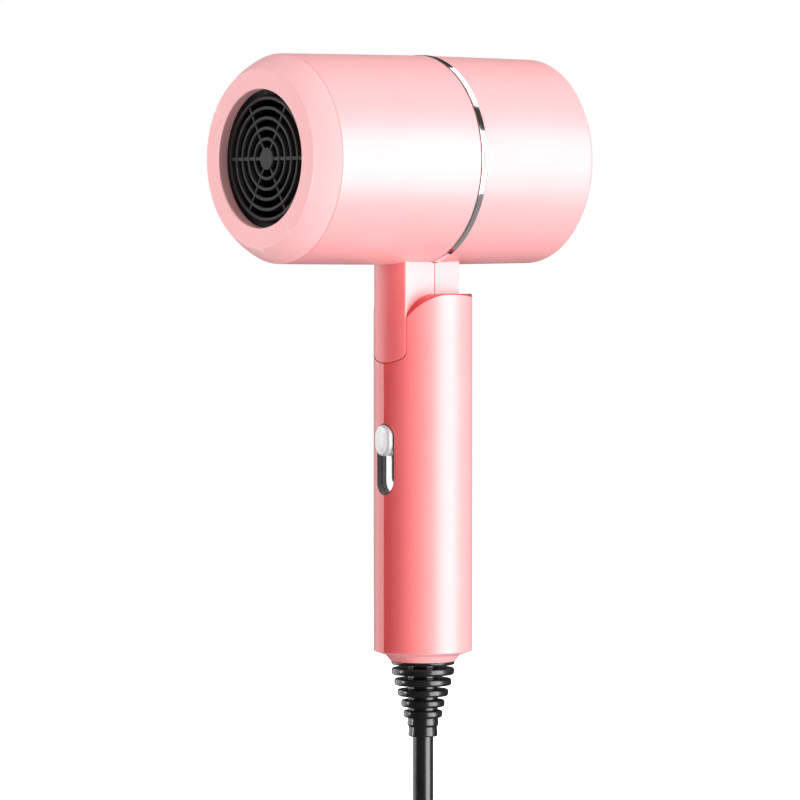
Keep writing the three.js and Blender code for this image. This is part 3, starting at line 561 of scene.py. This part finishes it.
def rear_neck(x):
    """(y, z) outline of the neck's rear half, the same at every x."""
    split = PIVOT_Y + NECK_SEAM
    start = -90 + math.degrees(math.asin(NECK_SEAM / KNUCKLE_R))
    knuckle = arc((PIVOT_Y, PIVOT_Z), KNUCKLE_R, start, 0, 24)
    return [(split, NECK_TOP_Z), *knuckle, (HANDLE_Y + NECK_REAR, NECK_TOP_Z)]


PIN_BORE_R = 2.8
NECK_SCREW_Z = -54.0
NECK_EDGE = 0.35
COVER_SEAT_R = 33.9
SCREW_HEAD_ROOM_R = 3
SCREW_BORE_R = 1.5


def screw_seat(face):
    """Where the neck screw's head sits, behind a face of the neck."""
    return face - 2


def pin_bore(half_width):
    """The hinge pin's hole through the neck."""
    return rod(PIN_BORE_R, -half_width, half_width, "X", (PIVOT_Y, PIVOT_Z))


def ring_room(front, back):
    """The space that the trim ring and the barrel's other half take from a neck."""
    reach = RING_R + JOINT_GAP
    inside = 20
    return turned([(inside, front), (reach, front), (reach, back), (inside, back)])


def front_housing():
    """Front half of the barrel, with the tongue and the front half of the knuckle."""
    front = FRONT_Y + NOSE_LENGTH + 0.03
    split = SPLIT_Y - JOINT_GAP
    tube = turned(rounded([
        (BARREL_INNER_R, front, 0),
        (BARREL_END_R, front, JOINT_EDGE),
        (BARREL_R, split, 0.2),
        (BARREL_INNER_R, split, 0),
    ]))
    neck = cut(slab(front_neck, NECK_HALF, NECK_EDGE), pin_bore(20), ring_room(split, PIVOT_Y + 5))
    return join(tube, neck)


def screw_well(face, seat, axis, centre, depth):
    """A counterbore with a broken edge at face, a seat, and the screw's own hole beyond it."""
    way = math.copysign(1, seat - face)
    broken = 0.5
    return turned([
        (0, face - way),
        (SCREW_HEAD_ROOM_R + broken, face - way),
        (SCREW_HEAD_ROOM_R + broken, face),
        (SCREW_HEAD_ROOM_R, face + way * broken),
        (SCREW_HEAD_ROOM_R, seat),
        (SCREW_BORE_R, seat),
        (SCREW_BORE_R, seat + way * depth),
        (0, seat + way * depth),
    ], axis, centre, SMALL_STEPS)


def rear_housing():
    """Rear half of the barrel, with the rear half of the knuckle and the neck screw's well."""
    front = RING_HIGH.y + JOINT_GAP
    back = REAR_HIGH.y
    tube = turned(rounded([
        (BARREL_R, front, 0.2),
        (BARREL_END_R, back, 1.5),
        (COVER_SEAT_R, back, 0.3),
        (COVER_SEAT_R, -5.4, 0),
        (32.2, -5.4, 0),
        (BARREL_INNER_R, -8.6, 0),
        (BARREL_INNER_R, front, 0),
    ]))
    neck = cut(slab(rear_neck, NECK_HALF, NECK_EDGE), pin_bore(20), ring_room(SPLIT_Y - 5, front))
    face = HANDLE_Y + NECK_REAR
    well = screw_well(face, screw_seat(face), "Y", (0, NECK_SCREW_Z), 4)
    return cut(join(tube, neck), well)


def trim_ring():
    """Chrome band between the barrel's halves."""
    return turned(rounded([
        (BARREL_INNER_R, RING_LOW.y, 0),
        (RING_R, RING_LOW.y, 0.25),
        (RING_R, RING_HIGH.y, 0.25),
        (BARREL_INNER_R, RING_HIGH.y, 0),
    ]))


def bar_ring(radius, half, front, back, edge=0.25):
    """One round bar of a grille, its front edges softened."""
    return turned(rounded([
        (radius - half, front, edge),
        (radius + half, front, edge),
        (radius + half, back, 0),
        (radius - half, back, 0),
    ], 3), steps=120)


SPOKE_COUNT = 3
SPOKE_EDGE = 0.15


def spoke(reach, half, front, back, place=0):
    """One straight bar across a grille; place counts the equal steps round from level."""
    bar = block((-reach, front, -half), (reach, back, half), SPOKE_EDGE)
    return turn_about_y(bar, place * math.pi / SPOKE_COUNT)


GRILLE_FRONT = FRONT_Y + 3
GRILLE_BACK = GRILLE_FRONT + 3.6
GRILLE_RADII = (6.9, 10.6, 14.1, 17.6, 21.0)
GRILLE_BAR_HALF = 0.57


def outlet_rim():
    """The dished black band between the outermost bar and the nose."""
    inner = GRILLE_RADII[-1] + GRILLE_BAR_HALF
    rim_y = FRONT_Y + LIP_DEPTH + 0.1
    rim_r = 28.6
    return turned(rounded([
        (inner, GRILLE_BACK - 1.6, 0.2),
        (OUTLET_R - 0.1, rim_y, 0.2),
        (rim_r, rim_y, 0),
        (rim_r, rim_y + 1.6, 0),
        (OUTLET_R, rim_y + 1.6, 0),
        (inner, GRILLE_BACK, 0),
    ], 3))


def outlet_grille():
    """Round bars, a hub, one thicker level spoke and two thin ones."""
    hub = rod(3.9, GRILLE_FRONT, GRILLE_BACK, "Y", (0, 0), edge=0.3)
    bars = [bar_ring(r, GRILLE_BAR_HALF, GRILLE_FRONT, GRILLE_BACK) for r in GRILLE_RADII]
    reach = GRILLE_RADII[-1]
    back = GRILLE_BACK - 0.2
    tilted = [spoke(reach, 0.42, GRILLE_FRONT + 0.25, back, place) for place in (1, 2)]
    level = spoke(reach + 0.3, 0.6, GRILLE_FRONT + 0.15, back)
    return join(hub, *bars, level, *tilted)


def rear_cover():
    """Intake cover: a rim, a flat hub, round bars and spokes."""
    rim = turned(rounded([
        (29.6, -3.4, 0),
        (COVER_SEAT_R - 0.3, -4.4, 0),
        (COVER_SEAT_R - 0.3, 0, 0.4),
        (29.6, 0, 0.5),
    ], 4))
    hub = turned(rounded([
        (0, -3, 0),
        (9.6, -3, 0),
        (9.6, 0, 0.6),
        (8.2, 0, 0),
        (7.6, -0.5, 0.3),
        (0, -0.5, 0),
    ], 4))
    bars = [bar_ring(r, 0.7, -0.6, -2.8, 0.3) for r in (13.6, 17.7, 21.8, 25.9)]
    return join(rim, hub, *bars, *[spoke(30.5, 0.8, -3, -1, place) for place in range(SPOKE_COUNT)])


def dust_filter():
    """A plain weave of round wire, clipped to a disc."""
    pitch, wire_r, disc_r, level = 1.6, 0.24, 32.6, -4.95
    bm = bmesh.new()
    count = int(disc_r / pitch)
    for along_x in (True, False):
        for i in range(-count, count + 1):
            offset = i * pitch
            reach = int(math.sqrt(disc_r ** 2 - offset ** 2) / pitch)
            if reach == 0:
                continue
            rings = []
            for j in range(-2 * reach, 2 * reach + 1):
                phase = math.cos(math.pi * j / 2 + math.pi * (i + (0 if along_x else 1)))
                middle = Vector((j * pitch / 2, level + wire_r * phase, offset))
                side = (Vector((0, 1, 0)), Vector((0, 0, 1)))
                ring = [middle + wire_r * (side[0] * math.cos(a) + side[1] * math.sin(a))
                        for a in (math.pi / 4 + math.pi / 2 * k for k in range(4))]
                if not along_x:
                    ring = [Vector((p.z, p.y, p.x)) for p in ring]
                rings.append([bm.verts.new(p) for p in ring])
            for first, second in zip(rings, rings[1:]):
                for k in range(4):
                    bm.faces.new((first[k - 1], first[k], second[k], second[k - 1]))
            bm.faces.new(rings[0])
            bm.faces.new(rings[-1])
    bmesh.ops.recalc_face_normals(bm, faces=bm.faces)
    return solid(bm)


# ---------- handle ----------
SLIDE_HALF = 4.9
SLIDE_LOW = BEZEL_LOW.z + 2.1
SLIDE_HIGH = BEZEL_HIGH.z - 2.1


def cheek_top(y):
    """Height of the fork's top at depth y: level, rounded over at the front, eased at the back."""
    arc_y = PIVOT_Y - 0.8
    if y < arc_y:
        drop = CHEEK_ARC_R - math.sqrt(max(CHEEK_ARC_R ** 2 - (arc_y - y) ** 2, 0))
        return HANDLE_TOP_Z - drop
    corner = 1.6
    past = y - (HANDLE_Y + HANDLE_R + 0.15 - corner)
    if past > 0:
        return HANDLE_TOP_Z - corner + math.sqrt(max(corner ** 2 - past ** 2, 0))
    return HANDLE_TOP_Z


def slot_floor(x, y):
    """Height of the slot's floor: it follows the tongue's edge at the front and is level behind."""
    if y < STRIP_BACK + 0.4:
        return tongue_edge(x * NECK_HALF / SLOT_HALF) - 0.12
    return SLOT_FLOOR_Z


COLLAR_BORE_R = 7.9
SEAM_FLAT = 2.6
SEAM_SLOPE = math.tan(math.radians(6))


def seam_rise(x):
    """How far the shells stand proud of the circle near their seams, where they run straighter."""
    x = abs(x)
    if x >= SEAM_FLAT:
        return 0.0
    end_slope = SEAM_FLAT / HANDLE_R
    bend = (end_slope - SEAM_SLOPE) / (2 * SEAM_FLAT)
    start = SEAM_FLAT ** 2 / (2 * HANDLE_R) - SEAM_SLOPE * SEAM_FLAT - bend * SEAM_FLAT ** 2
    return x ** 2 / (2 * HANDLE_R) - (start + SEAM_SLOPE * x + bend * x ** 2)


def cheek_edge(angle):
    """Rounding of the fork's outer rim: crisp in front, softer at the back."""
    share = min(max(angle / math.radians(35), 0), 1)
    wall = HANDLE_R - (NECK_HALF + 0.05) / math.cos(angle)
    return min(0.35 + 0.95 * share ** 2, max(wall, 0.12))


def shell_column(angle, cheek, side):
    """The wall's outline at one angle round the handle, from the seam over the top and round."""
    c, s = math.cos(angle), math.sin(angle)
    edge = cheek_edge(angle) if cheek else 0.15

    def at(radius, z):
        """A point at a distance from the handle's axis, never past the seam."""
        x = max(radius * c, SEAM)
        y = math.copysign(math.sqrt(max(radius ** 2 - x ** 2, 0)), s) if abs(s) > 0.5 else radius * s
        rise = seam_rise(x) if radius > HANDLE_R - 1 else 0.0
        return x, HANDLE_Y + y + math.copysign(rise, s), z

    inside_y = at(HANDLE_R - edge, 0)[1]
    outer_x = at(HANDLE_R - edge, 0)[0]
    wall_x = min(SLOT_HALF, outer_x)
    points = []
    for k in range(9):
        x = SEAM + (wall_x - SEAM) * k / 8
        points.append((x, inside_y, slot_floor(x, inside_y)))
    floor = points[-1][2]
    if cheek:
        top = cheek_top(inside_y)
        soft = min(edge, max(outer_x - wall_x, 0) * 0.45)
        for k in range(4):
            a = math.pi / 6 * k
            points.append((wall_x + soft * (1 - math.cos(a)), inside_y, top - soft * (1 - math.sin(a))))
        points.append(((wall_x + outer_x) / 2, inside_y, top))
        rim = cheek_top(at(HANDLE_R, 0)[1])
    else:
        top = rim = floor
        points += [(wall_x, inside_y, floor)] * 4
        points.append(((wall_x + outer_x) / 2, inside_y, floor))
    for k in range(5):
        a = math.pi / 8 * k
        z = top + (rim - top) * k / 4 - edge * (1 - math.cos(a))
        points.append(at(HANDLE_R - edge * (1 - math.sin(a)), z))
    bore_z = HANDLE_BOTTOM_Z + 3.1
    hollow_top = SLOT_FLOOR_Z - 2.2
    lower = rounded([
        (HANDLE_R, -100, 0),
        (HANDLE_R, HANDLE_BOTTOM_Z + 0.3, 0.4),
        (13.3, HANDLE_BOTTOM_Z - 1.0, 0.8),
        (11.4, COLLAR_Z, 0.25),
        (COLLAR_BORE_R, COLLAR_Z, 0.2),
        (COLLAR_BORE_R, bore_z, 0),
        (HANDLE_INNER_R, bore_z, 0),
        (HANDLE_INNER_R, hollow_top, 0),
    ])
    points += [at(radius, z) for radius, z in lower]
    points.append((SEAM, at(HANDLE_INNER_R, 0)[1], hollow_top))
    return [(side * x, y, z) for x, y, z in points]


def handle_shell(side):
    """Half of the handle, with one cheek of the fork that holds the neck."""
    cheek_angle = math.acos(SLOT_HALF / HANDLE_R)
    ledge = [cheek_angle + (math.pi / 2 - cheek_angle) * (k / 24) for k in range(25)]
    fork = [cheek_angle * (k / 50) for k in range(-50, 51)]
    columns = [(-a, False) for a in reversed(ledge)]
    columns += [(a, True) for a in fork]
    columns += [(a, False) for a in ledge]
    shell = solid(skin([shell_column(angle, cheek, side) for angle, cheek in columns]))
    low, high = sorted((side * (SLOT_HALF - 1), side * (SLOT_HALF + 1.2)))
    washer_room = rod(6.3, low, high, "X", (PIVOT_Y, PIVOT_Z))
    low, high = sorted((side * (SLOT_HALF - 1), side * 12.5))
    pin_room = rod(PIN_BORE_R, low, high, "X", (PIVOT_Y, PIVOT_Z))
    slide = prism(stadium(SLIDE_HALF, SLIDE_LOW, SLIDE_HIGH), HANDLE_Y - 30, HANDLE_Y - 10)
    return cut(shell, washer_room, pin_room, slide)


SHELL_SCREWS = {"handle_screw_upper": (HANDLE_Y + 8, -84), "handle_screw_lower": (HANDLE_Y + 9.5, -163)}
SHELL_SCREW_SEAT = -11.6
SCREW_HEAD_HEIGHT = 1.65


def left_shell():
    """The left half, with a post round each screw so that its well has a wall."""
    posts, wells = [], []
    for y, z in SHELL_SCREWS.values():
        across = y - HANDLE_Y
        face = -math.sqrt(HANDLE_R ** 2 - across ** 2) + 0.25
        post = rod(3.8, -20, -0.3, "X", (y, z))
        posts.append(combine(post, [rod(HANDLE_R - 0.8, -175, -75, "Z", (0, HANDLE_Y))], "INTERSECT"))
        wells.append(screw_well(face, SHELL_SCREW_SEAT, "X", (y, z), 12))
        wells.append(rod(SCREW_HEAD_ROOM_R, -HANDLE_R - 2, face, "X", (y, z)))
    return cut(join(handle_shell(-1), *posts), *wells)


# ---------- screws ----------
def screw(axis, centre, face, way, head_r=2.5, shank_r=1.25, head=1.5, length=12.0):
    """A pan-head screw with a cross recess, its head's top at face."""
    top = 0.55
    outline = rounded([
        (0, face, 0),
        (head_r - 0.3, face + way * 0.12, 0.3),
        (head_r, face + way * top, 0.25),
        (head_r, face + way * head, 0.15),
        (shank_r, face + way * head, 0),
        (shank_r, face + way * (length - 1), 0),
        (0.2, face + way * length, 0),
        (0, face + way * length, 0),
    ], 4)
    body = turned(outline, axis, centre, 48)
    low, high = sorted((face - way * 1, face + way * 0.95))
    arm, half = head_r * 0.62, 0.34
    if axis == "X":
        y, z = centre
        cross = [block((low, y - arm, z - half), (high, y + arm, z + half)),
                 block((low, y - half, z - arm), (high, y + half, z + arm))]
    else:
        x, z = centre
        cross = [block((x - arm, low, z - half), (x + arm, high, z + half)),
                 block((x - half, low, z - arm), (x + half, high, z + arm))]
    return cut(body, *cross)


# ---------- switch ----------
SWITCH_FLOOR_Y = BEZEL_HIGH.y - 1
TRAY_GAP = 0.06
TRAY_HALF = SLIDE_HALF - TRAY_GAP
TRAY_WALL = 0.3


def switch_tray():
    """Plated floor behind the opening, with a flange and a slot for the button's stem."""
    floor = prism(stadium(7, BEZEL_LOW.z, BEZEL_HIGH.z, 28), SWITCH_FLOOR_Y, BEZEL_HIGH.y)
    stem_room = stadium(1.5, BUTTON_LOW.z - 9.0, BUTTON_HIGH.z - 2.5)
    stem = prism(stem_room, SWITCH_FLOOR_Y - 2, BEZEL_HIGH.y + 2)
    return cut(floor, stem)


def switch_walls():
    """Dark liner round the opening, with a thin groove half way down."""
    low, high = SLIDE_LOW + TRAY_GAP, SLIDE_HIGH - TRAY_GAP
    liner = prism(stadium(TRAY_HALF, low, high, 28), HANDLE_Y - 30, SWITCH_FLOOR_Y - 0.02)
    combine(liner, [rod(HANDLE_R - 0.03, -140, -80, "Z", (0, HANDLE_Y), BARREL_STEPS)], "INTERSECT")
    room = prism(stadium(TRAY_HALF - TRAY_WALL, low + TRAY_WALL, high - TRAY_WALL, 28),
                 HANDLE_Y - 31, SWITCH_FLOOR_Y + 1)
    groove_y = SWITCH_FLOOR_Y - 1.9
    skin_left = 0.08
    groove = prism(stadium(TRAY_HALF - skin_left, low + skin_left, high - skin_left, 28),
                   groove_y - 0.16, groove_y + 0.16)
    return cut(liner, room, groove)


def switch_button():
    """Upright pill with a slightly crowned face, a rolled edge and straight sides."""
    half_x, half_z = BUTTON_HIGH.x, (BUTTON_HIGH.z - BUTTON_LOW.z) / 2
    middle_z = (BUTTON_HIGH.z + BUTTON_LOW.z) / 2 + 0.35
    roll, crown = 1.1, 0.45
    shoulder = BUTTON_LOW.y + crown
    levels = [(0, BUTTON_HIGH.y)]
    for k in range(10):
        a = math.pi / 2 * k / 9
        levels.append((roll * (1 - math.cos(a)), shoulder + roll * (1 - math.sin(a))))
    reach = half_x - roll
    for k in range(1, 9):
        share = k / 8 * 0.985
        levels.append((roll + reach * share, shoulder - crown * (1 - (1 - share) ** 2)))
    loops = []
    for inwards, y in levels:
        hx, hz = half_x - inwards, half_z - inwards
        loops.append([(u, y, middle_z + v) for u, v in stadium(hx, -hz, hz, 24)])
    return solid(skin(loops))


# ---------- cord ----------
BOOT_RADII = (11.1, 10.1, 9.0, 7.7, 6.9)
BOOT_TOP_RING_Z = -180.8
BOOT_PITCH = 3.8


def strain_relief_boot():
    """Ribbed rubber sleeve that gets thinner towards the cord."""
    bore = CORD_R + 0.1
    core = 5.3
    half = 1.25
    flange = COLLAR_Z - 0.05
    corners = [
        (bore, BOOT_LOW.z, 0.2),
        (5.25, BOOT_LOW.z, 0.5),
        (5.0, BOOT_LOW.z + 3.4, 0),
        (5.55, BOOT_LOW.z + 4.2, 0.3),
        (5.45, BOOT_LOW.z + 6.2, 0.2),
    ]
    for i, radius in reversed(list(enumerate(BOOT_RADII))):
        z = BOOT_TOP_RING_Z - i * BOOT_PITCH
        corners += [
            (core, z - half - 0.1, 0.25),
            (radius, z - half, 0.85),
            (radius + 0.05, z + half, 0.85),
            (core, z + half + 0.15, 0.25),
        ]
    corners += [
        (core, flange - 1.3, 0.3),
        (11.1, flange - 1.2, 0.5),
        (11.35, flange, 0.25),
        (7.4, flange, 0),
        (7.4, BOOT_HIGH.z - 2, 0),
        (10, BOOT_HIGH.z - 2, 0),
        (10, BOOT_HIGH.z, 0),
        (bore, BOOT_HIGH.z, 0),
    ]
    return turned(rounded(corners, 4), "Z", (0, HANDLE_Y), 128)


def power_cord():
    """Round flex with room for its two cores."""
    cord = rod(CORD_R, CORD_LOW.z, CORD_HIGH.z, "Z", (0, HANDLE_Y), 96, 0.25)
    core_room_r, core_x = 1.2, 1.45
    holes = [rod(core_room_r, CORD_LOW.z - 1, CORD_HIGH.z + 1, "Z", (side * core_x, HANDLE_Y), 32)
             for side in (-1, 1)]
    return cut(cord, *holes)


# ---------- build ----------
def add(made, name, body, slot, nodes, sharp=32, look=None):
    """Finishes a piece, in its slot's material or in another look."""
    return finish_piece(made, name, body, nodes, MATERIALS[look or slot], sharp)


add(nose_cap(), "nose_ring", "head", "pink_shell", ["nose_cap"])
add(front_housing(), "barrel_front", "head", "pink_shell", ["front_housing"])
add(rear_housing(), "barrel_rear", "head", "pink_shell", ["rear_housing"])
add(trim_ring(), "chrome_ring", "head", "chrome_trim", ["trim_ring"])
add(outlet_grille(), "outlet_bars", "head", "grille_grey", ["outlet_grille"])
add(outlet_rim(), "outlet_dish", "head", "black_plastic", ["outlet_grille"])
add(rear_cover(), "intake_cover", "head", "grille_grey", ["rear_cover"])
add(dust_filter(), "intake_mesh", "head", "filter_mesh", ["dust_filter"], sharp=60)
neck_head_y = screw_seat(HANDLE_Y + NECK_REAR) + SCREW_HEAD_HEIGHT
add(screw("Y", (0, NECK_SCREW_Z), neck_head_y, -1), "neck_screw_head", "head", "steel", ["neck_screw"])
add(left_shell(), "handle_left", "handle", "pink_shell", ["handle_shell_left"])
add(handle_shell(1), "handle_right", "handle", "pink_shell", ["handle_shell_right"])
shell_head_x = SHELL_SCREW_SEAT - SCREW_HEAD_HEIGHT
for node, centre in SHELL_SCREWS.items():
    add(screw("X", centre, shell_head_x, 1), node + "_head", "handle", "steel", [node])
add(switch_tray(), "switch_floor", "handle", "chrome_trim", ["switch_bezel"], look="satin_plate")
add(switch_walls(), "switch_liner", "handle", "grille_grey", ["switch_bezel"])
add(switch_button(), "switch_cap", "switch", "chrome_trim", ["switch_button"], sharp=50, look="satin_plate")
add(strain_relief_boot(), "cord_boot", "handle", "black_rubber", ["strain_relief_boot"])
add(power_cord(), "flex", "handle", "black_rubber", ["power_cord"])

slot_of = {row["node"]: row["material_slot"] for row in frame["record"]["subparts"]}
for name, node in frame["nodes"].items():
    if not node.hide_render:
        node.data.materials.clear()
        node.data.materials.append(MATERIALS[slot_of[name]])

# ---------- camera ----------
camera_data = bpy.data.cameras.new("camera")
camera_data.sensor_width = 36
camera_data.lens = 231.75
camera = bpy.data.objects.new("camera", camera_data)
bpy.context.scene.collection.objects.link(camera)
bpy.context.scene.camera = camera
camera_place = Vector((1.43083, -1.17707, -0.02588))
camera_target = Vector((-0.00500, -0.05535, -0.08473))
camera.location = camera_place
camera.rotation_euler = (camera_target - camera_place).to_track_quat("-Z", "Y").to_euler()

# ---------- studio ----------
TARGET = Vector((0, HANDLE_Y * MM, -0.08))
LAMP_DISTANCE = 1.0


def lamp(name, azimuth, elevation, width, height, radiance, colour=(1, 1, 1), only=None, spare=None,
         shine=True):
    """A soft box a metre off, aimed at the dryer. Azimuth 0 is in front of the nose, 90 to its right.

    It lights every piece, or only those in one list, or all but those in another.
    """
    data = bpy.data.lights.new(name, "AREA")
    data.shape = "RECTANGLE"
    data.size, data.size_y = width, height
    data.energy = radiance * math.pi * width * height
    data.color = colour
    light = bpy.data.objects.new(name, data)
    bpy.context.scene.collection.objects.link(light)
    a, e = math.radians(azimuth), math.radians(elevation)
    way = Vector((math.sin(a) * math.cos(e), -math.cos(a) * math.cos(e), math.sin(e)))
    light.location = TARGET + way * LAMP_DISTANCE
    light.rotation_euler = (-way).to_track_quat("-Z", "Y").to_euler()
    light.visible_camera = False
    light.visible_glossy = shine
    if only or spare:
        group = bpy.data.collections.new(name + "_lit")
        for piece in only or spare:
            group.objects.link(bpy.data.objects[piece])
        if spare:
            for row in group.collection_objects:
                row.light_linking.link_state = "EXCLUDE"
        light.light_linking.receiver_collection = group
    return light


PINK_PIECES = ["handle_left", "handle_right", "barrel_front", "barrel_rear"]
lamp("soft_box_right", 107, 2, 0.85, 1.25, 4.5)
lamp("soft_box_rear", 125, 2, 0.6, 1.0, 1.5)
lamp("soft_box_left", -72, 0, 0.95, 1.2, 1.3, spare=["handle_right"])
lamp("ring_top", 180, 47, 0.8, 0.35, 3.0, only=["chrome_ring"])
lamp("ring_low", 165, -45, 1.2, 0.8, 0.25, only=["chrome_ring"])
lamp("above", 90, 75, 0.8, 0.8, 3.3, shine=False, spare=["handle_right"])
lamp("below", 90, -78, 0.8, 0.8, 3.0, shine=False)
lamp("rear_fill", 255, 38, 1.0, 1.0, 2.4, shine=False, spare=["handle_right"])
lamp("nose_light", 8, -4, 0.8, 0.8, 4.6, only=["nose_ring"])
lamp("warm_fill", 35, 0, 0.9, 0.9, 3.0, (1, 0.03, 0.03), only=PINK_PIECES, shine=False)
lamp("switch_light", 0, 0, 0.5, 0.9, 16.0, only=["switch_floor"], shine=False)
lamp("cap_light", -35, 6, 0.5, 0.9, 3.2, only=["switch_cap"])
lamp("boot_strip", -36, 2, 0.16, 0.5, 9.0, only=["cord_boot", "flex"])

world = bpy.data.worlds.new("studio")
bpy.context.scene.world = world
world.use_nodes = True
tree = world.node_tree
background = tree.nodes["Background"]
path = tree.nodes.new("ShaderNodeLightPath")
seen = tree.nodes.new("ShaderNodeMapRange")
seen.inputs["To Min"].default_value = 0.05
seen.inputs["To Max"].default_value = 1.0
tree.links.new(path.outputs["Is Camera Ray"], seen.inputs["Value"])
tree.links.new(seen.outputs["Result"], background.inputs["Strength"])
background.inputs["Color"].default_value = (1, 1, 1, 1)

floor_mesh = bmesh.new()
bmesh.ops.create_grid(floor_mesh, x_segments=1, y_segments=1, size=30)
floor = solid(floor_mesh, "floor")
floor.location.z = cad_low.z - 0.002
floor_look = Nodes("floor_look")
floor_look.set(
    Base_Color=floor_look.blend(floor_look.noise(200), (0.88, 0.88, 0.88), (0.90, 0.90, 0.90)),
    Roughness=0.9,
    Emission_Color=(1, 1, 1, 1),
    Emission_Strength=1.0,
)
floor.data.materials.append(floor_look.material)
for ray in ("diffuse", "glossy", "transmission", "shadow"):
    setattr(floor, "visible_" + ray, False)

bpy.context.scene.view_settings.view_transform = "Standard"
